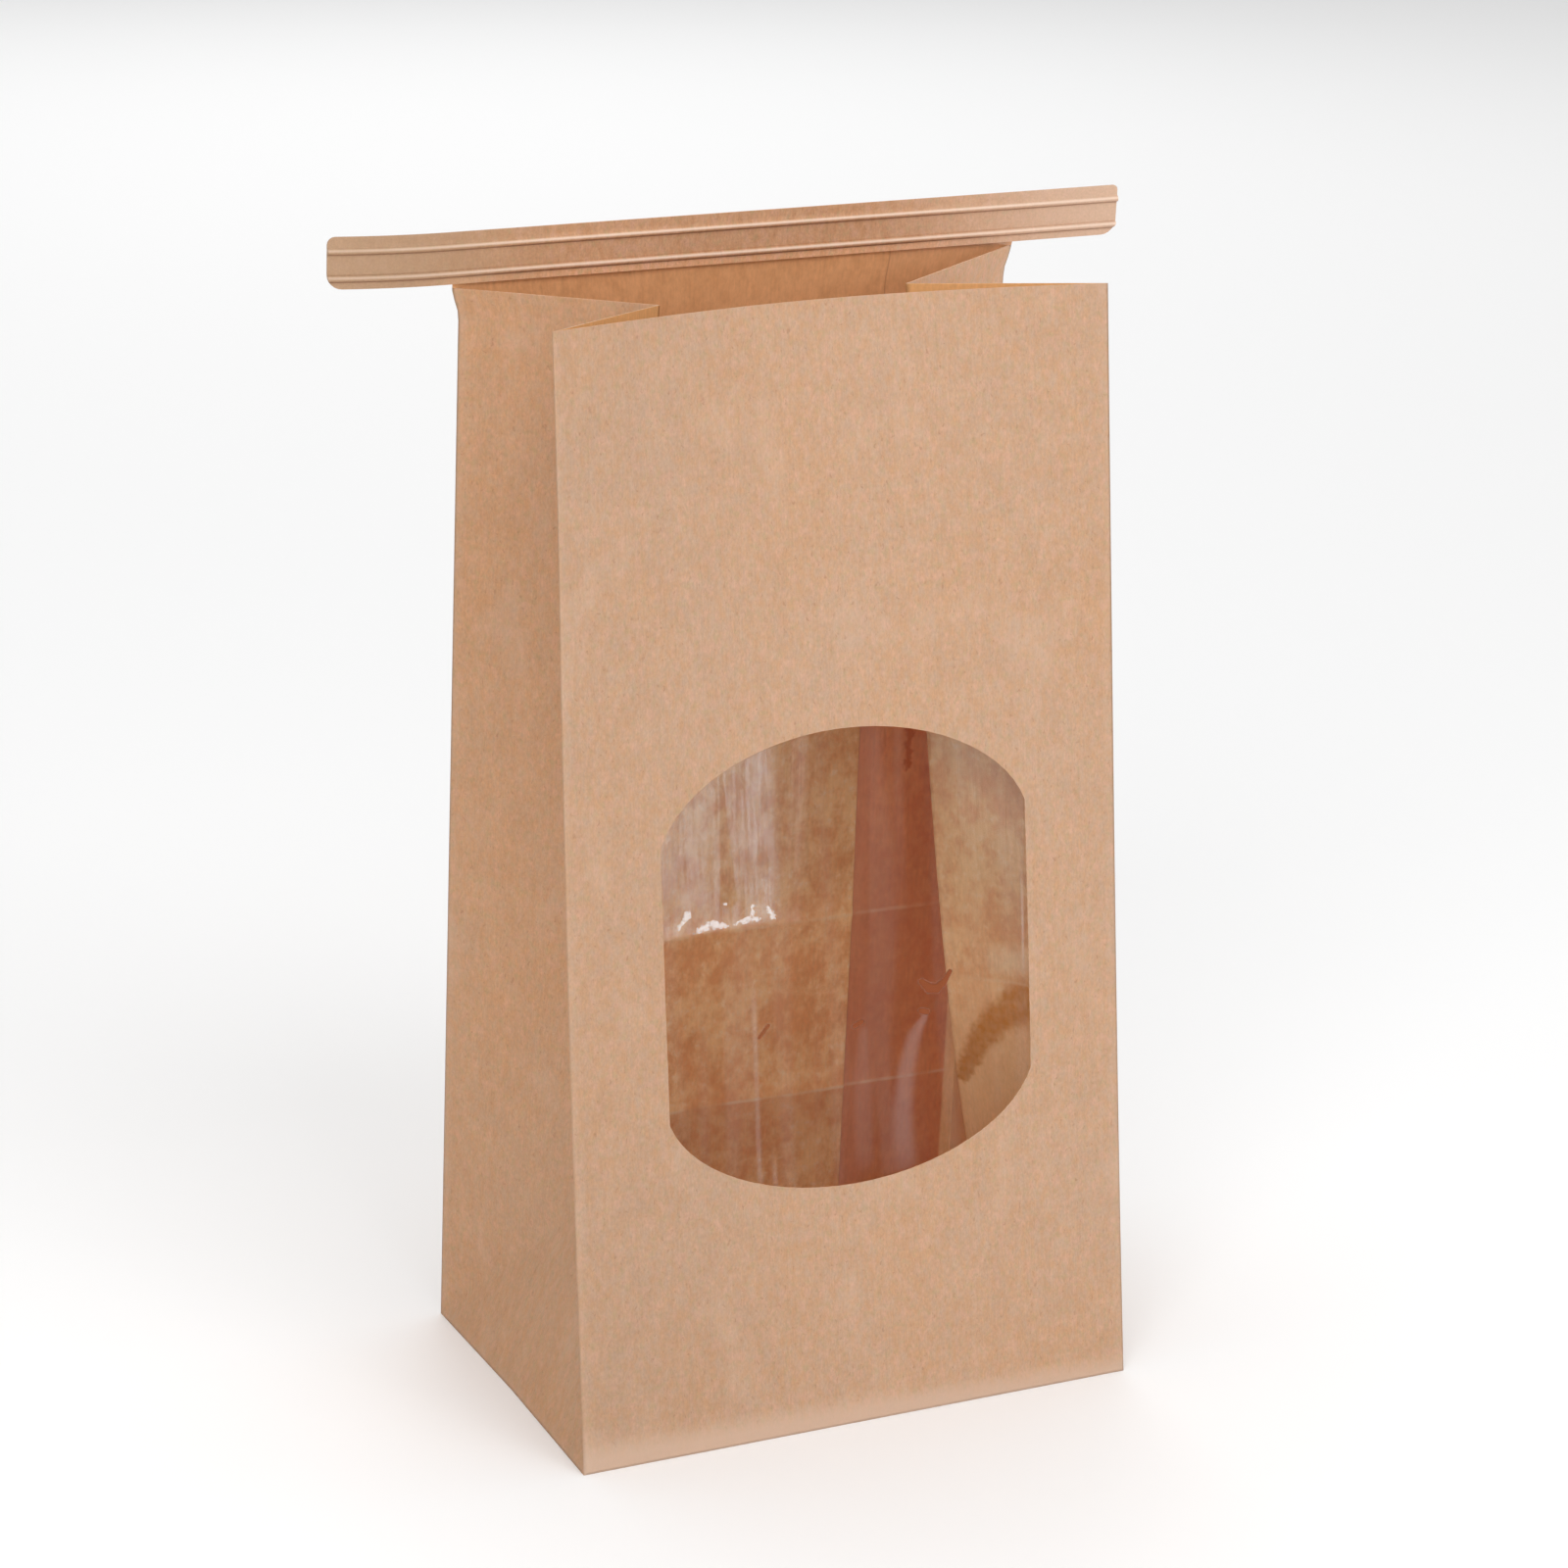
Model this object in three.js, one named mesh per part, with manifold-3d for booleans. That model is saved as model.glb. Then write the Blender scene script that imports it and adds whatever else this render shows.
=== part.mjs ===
// A paper bread bag: gusseted sides, a folded flat bottom, a die-cut window closed by clear film,
// and a tin tie along the lip of the back panel. It stands open and empty.
// Millimetres, +Z up. The origin is the middle of the base, on the surface that the bag stands on;
// -Y is the front, with the window. Folded sheet is worked out from its flat sizes: a height along
// the sheet starts at the bottom fold, and a fraction across a panel runs from corner to corner.
import * as THREE from 'three';
import { mergeVertices } from 'three/addons/utils/BufferGeometryUtils.js';
import Module from 'manifold-3d';

const wasm = await Module();
wasm.setup();

// ---- Driving dimensions ---------------------------------------------------------------------

// The flat sheet.
const width = 120; // front and back panels, corner fold to corner fold
const depth = 79; // each gusset, corner fold to corner fold, and the base
const sheetHeight = 225; // bottom fold to mouth
const lipHeight = 9.9; // the back panel's lip, above the mouth
const paper = 0.3; // one layer
const baseLayers = 3;

// How far the open mouth has drawn in: each corner fold runs straight from the base up to here.
const mouth = {
  frontLeft: { y: -18.7, z: 224 },
  frontRight: { y: -14.4, z: 223.6 },
  backLeft: { y: 28.2, z: 222.8 },
  backRight: { y: 28.6, z: 222.8 },
};
const creaseDrop = 1.6; // the gusset fold's tip, below the corners of the mouth
const frontBow = 7.4; // the front panel's inward curve at the mouth
const backBulge = 1.5; // the back panel's outward curve, half way up
const cornerFlare = 1.4; // each end of the lip, past the corner fold
const flareHeight = 6;

// The foot has spread: the front panel's bottom fold forward, and its left corner to the left,
// where the fold above the corner also bows out. Both die away upward.
const footSpread = 1.4;
const cornerSpread = 1.25;
const cornerBow = 0.85;
const bowHeight = 190; // the bow's upper end
const bowReach = 0.16; // the share of the front panel that follows the corner

// The glued lap of the tube, on the back panel.
const lapEdge = 32.5; // x of the inner layer's edge
const lapWidth = 12;
const lapStep = 0.25; // width of the slope at each edge of the lap

// The folded bottom: two long flaps with mitred ends over the two folded-in ends.
const flapOverlap = 6; // the outer flap, past the middle
const foldRim = 0.7; // the fold left standing round the flaps

// The window, in the front panel's own plane: straight upright sides, and a crowned top and bottom
// that are each part of an ellipse, a little wider than the sides.
const windowHalfWidth = 40.1;
const crownHalfWidth = 41;
const crownLow = { middle: 72.7, reach: 22.9 }; // the ellipse's height on the sheet, and its half height
const crownHigh = { middle: 118.1, reach: 23.7 };

// The film, glued behind the front panel.
const film = 0.2;
const filmMargin = 8;
const glueGap = 0.3; // clear space kept where two pieces are glued

// The tin tie: a kraft strip over two flat-lying wires.
const tieLength = 171;
const tieMiddle = -0.8; // x of its middle: it was glued on a little to the left
const tieHeight = 10.3;
const tieStrip = 0.4;
const tieRidge = 0.65; // each wire, proud of the strip
const tieRidgeWidth = 1.3;
const tieUpperFlange = 2.85; // strip edge to wire centre
const tieWireSpacing = 5.35;
const tieLift = 0.95; // the tie's lower edge, above the mouth
const tieLeftBend = 3; // the free left end's tip, bent back
const tieFreeEnd = 24.3; // from where the left end leaves the lip to its tip
const tieCorner = { leftUpper: 1.6, leftLower: 2.8, rightUpper: 1, rightLower: 3.2 };

const LEFT = -1;
const RIGHT = 1;
const FRONT = -1;
const BACK = 1;
const halfWidth = width / 2;
const halfDepth = depth / 2;
const flareStart = sheetHeight - flareHeight;
const { lerp, smoothstep } = THREE.MathUtils;

// ---- The folded sheet -----------------------------------------------------------------------

// A point of the straight line that a corner fold runs along, at a height along the sheet.
function cornerLine(side, end, height) {
  const name = (end === FRONT ? 'front' : 'back') + (side === LEFT ? 'Left' : 'Right');
  const foot = new THREE.Vector3(side * halfWidth, end * halfDepth, 0);
  const top = new THREE.Vector3(side * halfWidth, mouth[name].y, mouth[name].z);
  return foot.lerp(top, height / sheetHeight);
}

// How far the foot's spread has moved a point of the front panel, with its fraction across.
function spreadAt(fraction, height) {
  const fade = (1 - Math.min(height / sheetHeight, 1)) ** 4;
  const bow = cornerBow * Math.sin(Math.PI * Math.min(height / bowHeight, 1));
  const follow = Math.max(1 - fraction / bowReach, 0) ** 2;
  return new THREE.Vector3(-(cornerSpread * fade + bow) * follow, -footSpread * fade, 0);
}

// A point of a corner fold, with the flare of the lip at the back and the spread of the foot.
function cornerAt(side, end, height) {
  const point = cornerLine(side, end, height);
  if (end === FRONT) return point.add(spreadAt(side === LEFT ? 0 : 1, height));
  point.x += side * cornerFlare * smoothstep(height, flareStart, sheetHeight);
  return point;
}

// Half the gap between a side's two corner folds, and how far its middle crease folds in.
function gussetAt(side, height) {
  const level = THREE.MathUtils.clamp(height, halfDepth, sheetHeight);
  const front = cornerLine(side, FRONT, level);
  const back = cornerLine(side, BACK, level);
  const halfGap = (back.y - front.y) / 2;
  return { halfGap, foldIn: Math.sqrt(halfDepth ** 2 - halfGap ** 2) };
}

// A point of a side's middle crease. Below the apex, half the depth up, the crease is the middle
// of a flat triangle that leans in from the base.
function creaseAt(side, height) {
  if (height < halfDepth) {
    const foot = new THREE.Vector3(side * halfWidth, 0, 0);
    return foot.lerp(creaseAt(side, halfDepth), height / halfDepth);
  }
  const { foldIn } = gussetAt(side, height);
  const front = cornerLine(side, FRONT, height);
  const back = cornerLine(side, BACK, height);
  const y = (front.y + back.y) / 2;
  const apex = gussetAt(side, halfDepth).foldIn;
  const apexDrop = halfDepth - Math.sqrt(halfDepth ** 2 - apex ** 2);
  const climb = (height - halfDepth) / (sheetHeight - halfDepth);
  return new THREE.Vector3(
    side * (halfWidth - foldIn),
    y,
    (front.z + back.z) / 2 - lerp(apexDrop, creaseDrop, climb),
  );
}

// A point of a gusset half, with the fraction from its corner fold (0) to the middle crease (1).
function gussetPoint(side, end, fraction, height) {
  if (height >= halfDepth) {
    return cornerAt(side, end, height).lerp(creaseAt(side, height), fraction);
  }
  const climb = height / halfDepth;
  const apex = creaseAt(side, halfDepth);
  const foot = cornerAt(side, end, 0);
  if (fraction <= climb) {
    const corner = cornerAt(side, end, halfDepth);
    const across = apex.clone().sub(corner).multiplyScalar(fraction);
    return foot.lerp(corner, climb).add(across);
  }
  const middle = new THREE.Vector3(side * halfWidth, 0, 0);
  const along = foot.sub(middle).multiplyScalar(1 - fraction);
  return apex.sub(middle).multiplyScalar(climb).add(middle).add(along);
}

// A point of the front or back panel, with the fraction from its left corner fold to its right.
function panelPoint(end, fraction, height) {
  const across = Math.sin(Math.PI * fraction);
  const climb = Math.min(height / sheetHeight, 1);
  if (end === FRONT) {
    const point = cornerLine(LEFT, end, height).lerp(cornerLine(RIGHT, end, height), fraction);
    point.y += frontBow * across * climb ** 2;
    return point.add(spreadAt(fraction, height));
  }
  const point = cornerAt(LEFT, end, height).lerp(cornerAt(RIGHT, end, height), fraction);
  point.y += backBulge * across * Math.sin(Math.PI * climb);
  return point;
}

// How far the inner face of a gusset stands in from the outer face, along X.
function gussetWall(side, height) {
  const { halfGap, foldIn } = gussetAt(side, height);
  return { inset: (paper * halfDepth) / halfGap, slope: foldIn / halfGap };
}

// The inner face of the sheet at a gusset half and at a panel.
function gussetInner(side, end, fraction, height) {
  const point = gussetPoint(side, end, fraction, height);
  const { inset, slope } = gussetWall(side, height);
  point.x -= side * (inset + slope * paper * (1 - fraction));
  point.y -= end * paper * (1 - fraction);
  return point;
}

function panelInner(end, fraction, height, layers) {
  const point = panelPoint(end, fraction, height);
  const level = Math.min(height, sheetHeight);
  const insetAt = (side) => gussetInner(side, end, 0, level).x - cornerAt(side, end, level).x;
  point.x += lerp(insetAt(LEFT), insetAt(RIGHT), fraction);
  point.y -= end * paper * layers;
  return point;
}

// ---- Meshes ---------------------------------------------------------------------------------

// A closed body from two grids of points, the outer and the inner face of a sheet. Each station
// is one column; cells(column, row) says where there is sheet. A wrapped sheet closes on itself,
// and a floor closes its lowest row.
function sheetGeometry({ outer, inner, cells, wrapped }) {
  const columns = outer.length;
  const rows = outer[0].length;
  const cellColumns = wrapped ? columns : columns - 1;
  const points = [...outer.flat(), ...inner.flat()];
  const triangles = [];
  const index = (face, column, row) => (face * columns + (column % columns)) * rows + row;
  const corners = (face, column, row) => [
    index(face, column, row),
    index(face, column + 1, row),
    index(face, column + 1, row + 1),
    index(face, column, row + 1),
  ];
  const present = (column, row) => {
    if (row < 0 || row >= rows - 1) return false;
    if (!wrapped && (column < 0 || column >= cellColumns)) return false;
    return cells((column + cellColumns) % cellColumns, row);
  };
  const quad = (a, b, c, d) => triangles.push(a, b, c, a, c, d);
  for (let column = 0; column < cellColumns; column += 1) {
    for (let row = 0; row < rows - 1; row += 1) {
      if (!present(column, row)) continue;
      const [a, b, c, d] = corners(0, column, row);
      const [e, f, g, h] = corners(1, column, row);
      // Both faces split alike, along the diagonal that a fold keeps long.
      if (points[a].distanceTo(points[c]) >= points[b].distanceTo(points[d])) {
        quad(a, b, c, d);
        quad(e, h, g, f);
      } else {
        quad(b, c, d, a);
        quad(f, e, h, g);
      }
      if (!present(column - 1, row)) quad(d, h, e, a);
      if (!present(column + 1, row)) quad(b, f, g, c);
      if (!present(column, row + 1)) quad(d, c, g, h);
      if (!wrapped && !present(column, row - 1)) quad(b, a, e, f);
    }
  }
  if (wrapped) {
    for (const [face, grid] of [outer, inner].entries()) {
      const middle = points.push(new THREE.Vector3(0, 0, grid[0][0].z)) - 1;
      for (let column = 0; column < columns; column += 1) {
        const edge = [index(face, column, 0), index(face, column + 1, 0)];
        triangles.push(middle, ...(face === 0 ? edge.reverse() : edge));
      }
    }
  }
  const geometry = new THREE.BufferGeometry();
  geometry.setAttribute(
    'position',
    new THREE.Float32BufferAttribute(points.flatMap((point) => point.toArray()), 3),
  );
  geometry.setIndex(triangles);
  return geometry;
}

function toManifold(geometry) {
  const bare = geometry.clone();
  bare.deleteAttribute('normal');
  bare.deleteAttribute('uv');
  const merged = mergeVertices(bare, 1e-4);
  return new wasm.Manifold(new wasm.Mesh({
    numProp: 3,
    vertProperties: new Float32Array(merged.attributes.position.array),
    triVerts: new Uint32Array(merged.index.array),
  }));
}

function fromManifold(solid) {
  const mesh = solid.getMesh();
  const geometry = new THREE.BufferGeometry();
  geometry.setAttribute('position', new THREE.Float32BufferAttribute(mesh.vertProperties, 3));
  geometry.setIndex([...mesh.triVerts]);
  return geometry;
}

// ---- The bag --------------------------------------------------------------------------------

const fractions = (count) => Array.from({ length: count + 1 }, (_, step) => step / count);

// Heights of the rows: even steps up to the gussets' apex, up to the flare, to the mouth, and
// up the lip.
const gussetSteps = 4; // across a gusset half, and up to its apex
const wallRows = 10;
const flareRows = 2;
const lipRows = 2;
const rowHeights = [
  ...fractions(gussetSteps).map((part) => part * halfDepth),
  ...fractions(wallRows).slice(1).map((part) => lerp(halfDepth, flareStart, part)),
  ...fractions(flareRows).slice(1).map((part) => lerp(flareStart, sheetHeight, part)),
  ...fractions(lipRows).slice(1).map((part) => sheetHeight + part * lipHeight),
];

// The stations round the bag, anticlockwise seen from above, from the front left corner fold.
const frontSteps = 16;
function bagStations() {
  const stations = [];
  for (const fraction of fractions(frontSteps).slice(0, -1)) {
    stations.push({
      outer: (height) => panelPoint(FRONT, fraction, height),
      inner: (height) => panelInner(FRONT, fraction, height, 1),
    });
  }
  const addGusset = (side, end, steps) => {
    for (const fraction of steps) {
      stations.push({
        outer: (height) => gussetPoint(side, end, fraction, height),
        inner: (height) => gussetInner(side, end, fraction, height),
      });
    }
  };
  const towardsCrease = fractions(gussetSteps).slice(0, -1);
  const fromCrease = fractions(gussetSteps).slice(1).reverse();
  addGusset(RIGHT, FRONT, towardsCrease);
  addGusset(RIGHT, BACK, fromCrease);
  for (const { x, layers } of backColumns()) {
    const fraction = x / width + 0.5;
    stations.push({
      lip: true,
      outer: (height) => panelPoint(BACK, fraction, height),
      inner: (height) => panelInner(BACK, fraction, height, layers),
    });
  }
  addGusset(LEFT, BACK, towardsCrease);
  addGusset(LEFT, FRONT, fromCrease);
  return stations;
}

// The back panel's columns from right to left, with the number of layers at each.
const plainSteps = 6; // from the lap to the left corner fold
function backColumns() {
  const lapFar = lapEdge - lapWidth;
  return [
    { x: halfWidth, layers: 1 },
    { x: lerp(halfWidth, lapEdge, 0.5), layers: 1 },
    { x: lapEdge + lapStep, layers: 1 },
    { x: lapEdge, layers: 2 },
    { x: lapFar, layers: 2 },
    { x: lapFar - lapStep, layers: 1 },
    ...fractions(plainSteps).slice(1, -1).map((part) => ({
      x: lerp(lapFar, -halfWidth, part),
      layers: 1,
    })),
  ];
}

function prism(shape, bottom, top) {
  const geometry = new THREE.ExtrudeGeometry(shape, { depth: top - bottom, bevelEnabled: false });
  geometry.translate(0, 0, bottom);
  return geometry;
}

function polygon(...corners) {
  return new THREE.Shape(corners.map(([x, y]) => new THREE.Vector2(x, y)));
}

// The window's outline, with x across the panel and y the height along the sheet.
function windowShape() {
  const shape = new THREE.Shape();
  const meet = Math.acos(windowHalfWidth / crownHalfWidth); // where a crown meets a straight side
  const crown = ({ middle, reach }, from, to) => {
    shape.absellipse(0, middle, crownHalfWidth, reach, from, to);
  };
  shape.moveTo(-windowHalfWidth, crownLow.middle - crownLow.reach * Math.sin(meet));
  crown(crownLow, Math.PI + meet, 2 * Math.PI - meet);
  shape.lineTo(windowHalfWidth, crownHigh.middle + crownHigh.reach * Math.sin(meet));
  crown(crownHigh, meet, Math.PI - meet);
  shape.closePath();
  return shape;
}

// The die-cut through the front panel, square to it.
function windowCut() {
  const reach = 12;
  const geometry = new THREE.ExtrudeGeometry(windowShape(), {
    depth: 2 * reach,
    curveSegments: 18,
    bevelEnabled: false,
  });
  const lean = Math.asin(((mouth.frontLeft.y + mouth.frontRight.y) / 2 + halfDepth) / sheetHeight);
  geometry.translate(0, 0, -reach);
  geometry.rotateX(Math.PI / 2 - lean);
  geometry.translate(0, -halfDepth, 0);
  return geometry;
}

// What the flaps leave hollow under the bag. The outer flap comes from the back, past the middle;
// the front flap lies one layer up and the folded-in ends two layers up.
function bottomCuts() {
  const x = halfWidth - foldRim;
  const y = halfDepth - foldRim;
  const front = -y - footSpread;
  const below = -1;
  const outerFlap = polygon([-x, y], [flapOverlap + y - x, -flapOverlap],
    [x - y - flapOverlap, -flapOverlap], [x, y]);
  const frontFlap = polygon([-x, front], [x, front], [x - y, 0], [y - x, 0]);
  const endFold = (side) => polygon([side * x, front], [side * x, y], [side * (x - y), 0]);
  const kept = toManifold(prism(outerFlap, below - 1, 3 * paper));
  const cuts = [
    toManifold(prism(frontFlap, below, paper)),
    ...[LEFT, RIGHT].map((side) => toManifold(prism(endFold(side), below, 2 * paper))),
  ];
  return cuts.map((cut) => cut.subtract(kept));
}

function bagGeometry() {
  const stations = bagStations();
  const baseThickness = baseLayers * paper;
  const lastWallRow = rowHeights.length - 1 - lipRows;
  let bag = toManifold(sheetGeometry({
    wrapped: true,
    outer: stations.map((station) => rowHeights.map((height) => station.outer(height))),
    inner: stations.map((station) => rowHeights.map((height) => {
      const point = station.inner(Math.max(height, baseThickness));
      if (height === 0) point.z = baseThickness;
      return point;
    })),
    cells: (column, row) => row < lastWallRow || Boolean(stations[column].lip),
  }));
  for (const cut of [toManifold(windowCut()), ...bottomCuts()]) {
    bag = bag.subtract(cut);
  }
  return fromManifold(bag);
}

// ---- The film and the tie -------------------------------------------------------------------

const filmColumns = 10;
const filmRows = 8;

function filmGeometry() {
  const halfSpan = windowHalfWidth + filmMargin;
  const low = crownLow.middle - crownLow.reach - filmMargin;
  const high = crownHigh.middle + crownHigh.reach + filmMargin;
  const column = (across, offset) => fractions(filmRows).map((up) => {
    const fraction = 0.5 + lerp(-halfSpan, halfSpan, across) / width;
    const point = panelPoint(FRONT, fraction, lerp(low, high, up));
    point.y += paper + glueGap + offset;
    return point;
  });
  const face = (offset) => fractions(filmColumns).map((across) => column(across, offset));
  return sheetGeometry({ outer: face(0), inner: face(film), cells: () => true, wrapped: false });
}

// The tie's section: x is the depth behind its front face's flat, y the height.
function tieSection() {
  const shape = new THREE.Shape();
  const upper = tieHeight - tieUpperFlange;
  shape.moveTo(0, 0);
  for (const wire of [upper, upper - tieWireSpacing].reverse()) {
    shape.lineTo(0, wire - tieRidgeWidth / 2);
    shape.absellipse(0, wire, tieRidge, tieRidgeWidth / 2, 1.5 * Math.PI, 0.5 * Math.PI, true);
  }
  shape.lineTo(0, tieHeight);
  shape.lineTo(tieStrip, tieHeight);
  shape.lineTo(tieStrip, 0);
  shape.closePath();
  return shape;
}

// The strip's outline seen from the front, with its trimmed ends.
function tieOutline() {
  const end = tieLength / 2;
  const { leftUpper, leftLower, rightUpper, rightLower } = tieCorner;
  const shape = new THREE.Shape();
  shape.moveTo(-end + leftLower, 0);
  shape.lineTo(end - rightLower, 0);
  shape.quadraticCurveTo(end, 0, end, rightLower);
  shape.lineTo(end, tieHeight - rightUpper);
  shape.quadraticCurveTo(end, tieHeight, end - rightUpper, tieHeight);
  shape.lineTo(-end + leftUpper, tieHeight);
  shape.quadraticCurveTo(-end, tieHeight, -end, tieHeight - leftUpper);
  shape.lineTo(-end, leftLower);
  shape.quadraticCurveTo(-end, 0, -end + leftLower, 0);
  return shape;
}

function tieGeometry() {
  const margin = 1;
  const strip = new THREE.ExtrudeGeometry(tieSection(), {
    depth: tieLength + 2 * margin,
    steps: 36,
    curveSegments: 6,
    bevelEnabled: false,
  });
  strip.rotateY(Math.PI / 2);
  strip.rotateX(Math.PI / 2);
  strip.translate(-tieLength / 2 - margin, 0, 0);
  bendLeftEnd(strip);
  const reach = 6;
  const outline = prism(tieOutline(), -reach, reach);
  outline.rotateX(Math.PI / 2);
  return fromManifold(toManifold(strip).intersect(toManifold(outline)));
}

// The free left end curves back, more towards its tip.
function bendLeftEnd(geometry) {
  const position = geometry.attributes.position;
  const start = -tieLength / 2 + tieFreeEnd;
  for (let index = 0; index < position.count; index += 1) {
    const past = Math.max(start - position.getX(index), 0) / tieFreeEnd;
    position.setY(index, position.getY(index) + tieLeftBend * past ** 2);
  }
}

// ---- The assembled bag ----------------------------------------------------------------------

const kraft = new THREE.MeshStandardMaterial({ color: 0xcf9f78, roughness: 0.9, metalness: 0 });
const tieKraft = new THREE.MeshStandardMaterial({ color: 0xc79b76, roughness: 0.85, metalness: 0 });
const clearFilm = new THREE.MeshStandardMaterial({
  color: 0xf4f2ee,
  roughness: 0.12,
  metalness: 0,
  transparent: true,
  opacity: 0.2,
});

function named(name, geometry, material) {
  const shaded = geometry.clone();
  shaded.computeVertexNormals();
  const mesh = new THREE.Mesh(shaded, material);
  mesh.name = name;
  return mesh;
}

const group = new THREE.Group();
group.add(named('bag_paper', bagGeometry(), kraft));
group.add(named('window_film', filmGeometry(), clearFilm));

// The tie stands against the inner face of the lip and leans with it.
const tieMesh = named('tin_tie', tieGeometry(), tieKraft);
const lipFoot = panelInner(BACK, 0.5, sheetHeight, 2);
const lipTilt = Math.atan2(halfDepth - mouth.backLeft.y, mouth.backLeft.z);
tieMesh.position.set(tieMiddle, lipFoot.y - glueGap - tieStrip, lipFoot.z + tieLift);
tieMesh.rotation.x = lipTilt;
group.add(tieMesh);

export default group;
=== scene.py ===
"""The looks of an open paper bread bag: its folded kraft sheet, its window film and its tin tie.

The CAD frame is in metres; sizes here are in millimetres until a piece is placed.
"""
import math

import bmesh
import bpy
from mathutils import Matrix, Vector, noise


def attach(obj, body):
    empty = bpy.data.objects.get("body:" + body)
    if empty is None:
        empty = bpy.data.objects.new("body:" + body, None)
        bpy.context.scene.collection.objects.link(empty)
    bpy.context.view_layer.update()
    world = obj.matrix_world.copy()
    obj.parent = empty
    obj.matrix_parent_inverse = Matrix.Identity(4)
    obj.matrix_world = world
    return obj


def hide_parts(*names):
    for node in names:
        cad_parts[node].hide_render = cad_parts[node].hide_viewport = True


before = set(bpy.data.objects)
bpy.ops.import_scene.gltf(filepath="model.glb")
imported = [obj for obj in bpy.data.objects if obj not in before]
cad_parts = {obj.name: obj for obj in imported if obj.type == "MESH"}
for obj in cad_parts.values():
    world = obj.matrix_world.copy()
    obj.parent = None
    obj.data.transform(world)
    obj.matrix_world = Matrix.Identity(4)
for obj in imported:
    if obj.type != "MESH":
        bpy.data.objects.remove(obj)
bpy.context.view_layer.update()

MM = 0.001

# ---- The bag's flat sizes, as its solids have them ---------------------------------------------

WIDTH = 120.0  # front and back panels, corner fold to corner fold
DEPTH = 79.0  # each gusset, and the base
SHEET_HEIGHT = 225.0  # bottom fold to mouth
LIP_HEIGHT = 9.9
LAYER = 0.3  # from one glued layer to the next
PAPER = 0.26

MOUTH = {  # y and z of each corner fold at the mouth
    ("front", "left"): (-18.7, 224.0),
    ("front", "right"): (-14.4, 223.6),
    ("back", "left"): (28.2, 222.8),
    ("back", "right"): (28.6, 222.8),
}
CREASE_DROP = 1.6  # the gussets' middle creases end this far below the mouth
FRONT_BOW = 7.4  # the front panel curves in by this at the mouth
BACK_BULGE = 1.5  # the back panel curves out by this at half height
CORNER_FLARE = 1.4  # the back corners open out to the lip
FLARE_HEIGHT = 6.0

# The foot has spread: the front panel's bottom fold forward, and its left corner to the left,
# where the fold above the corner also bows out. Both die away upward.
FOOT_SPREAD = 1.4
CORNER_SPREAD = 1.25
CORNER_BOW = 0.85
BOW_HEIGHT = 190.0  # the bow's upper end
BOW_REACH = 0.16  # the share of the front panel that follows the corner

LAP_EDGE = 32.5  # x of the inner layer's free edge, on the back panel
LAP_WIDTH = 12.0
LAP_STEP = 3.0  # the outer part bends over the inner layer's thickness in this width
FLAP_OVERLAP = 6.0

# The window: straight upright sides, and a crowned top and bottom that are each part of an ellipse.
WINDOW_HALF_WIDTH = 40.1
CROWN_HALF_WIDTH = 41.0
CROWN_LOW = (72.7, 22.9)  # the ellipse's height on the sheet, and its half height
CROWN_HIGH = (118.1, 23.7)
WINDOW_BOTTOM = CROWN_LOW[0] - CROWN_LOW[1]
WINDOW_TOP = CROWN_HIGH[0] + CROWN_HIGH[1]

FILM = 0.12
FILM_MARGIN = 8.0
FILM_GAP = 0.35  # from the panel's inner face to the film

TIE_LENGTH = 171.0
TIE_MIDDLE = -0.8  # x of its middle
TIE_HEIGHT = 10.3
TIE_STRIP = 0.4
TIE_RIDGE = 0.65
TIE_RIDGE_WIDTH = 1.3
TIE_UPPER_FLANGE = 2.85  # from the upper wire to the strip's upper edge
TIE_WIRE_SPACING = 5.35
TIE_LIFT = 0.95  # the strip's lower edge is this far above the mouth
TIE_GAP = 0.3
TIE_LEFT_BEND = 3.0  # the free left end's tip, bent back
TIE_FREE_END = 24.3  # the length that bends

HALF_WIDTH = WIDTH / 2
HALF_DEPTH = DEPTH / 2
SIDE_SIGN = {"left": -1, "right": 1}
END_SIGN = {"front": -1, "back": 1}

# Where the folds run on the flat sheet. It starts at the lap's inner edge and goes round the bag.
U_BACK_LEFT = LAP_EDGE + HALF_WIDTH
U_LEFT_CREASE = U_BACK_LEFT + HALF_DEPTH
U_FRONT_LEFT = U_LEFT_CREASE + HALF_DEPTH
U_FRONT_RIGHT = U_FRONT_LEFT + WIDTH
U_RIGHT_CREASE = U_FRONT_RIGHT + HALF_DEPTH
U_BACK_RIGHT = U_RIGHT_CREASE + HALF_DEPTH
U_END = U_BACK_RIGHT + HALF_WIDTH - LAP_EDGE + LAP_WIDTH
U_FRONT_MIDDLE = (U_FRONT_LEFT + U_FRONT_RIGHT) / 2
SHEET_TOP = SHEET_HEIGHT + LIP_HEIGHT
SHEET_BOTTOM = -(HALF_DEPTH + FLAP_OVERLAP)


def smoothstep(value, low, high):
    t = min(max((value - low) / (high - low), 0.0), 1.0)
    return t * t * (3 - 2 * t)


def lerp(a, b, t):
    return a + (b - a) * t


# ---- The fold: flat sheet to standing bag ------------------------------------------------------


def corner_line(side, end, height):
    """A point of the straight line that a corner fold runs along, at a height along the sheet."""
    y, z = MOUTH[end, side]
    climb = height / SHEET_HEIGHT
    foot_y = END_SIGN[end] * HALF_DEPTH
    return Vector((SIDE_SIGN[side] * HALF_WIDTH, lerp(foot_y, y, climb), z * climb))


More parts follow.
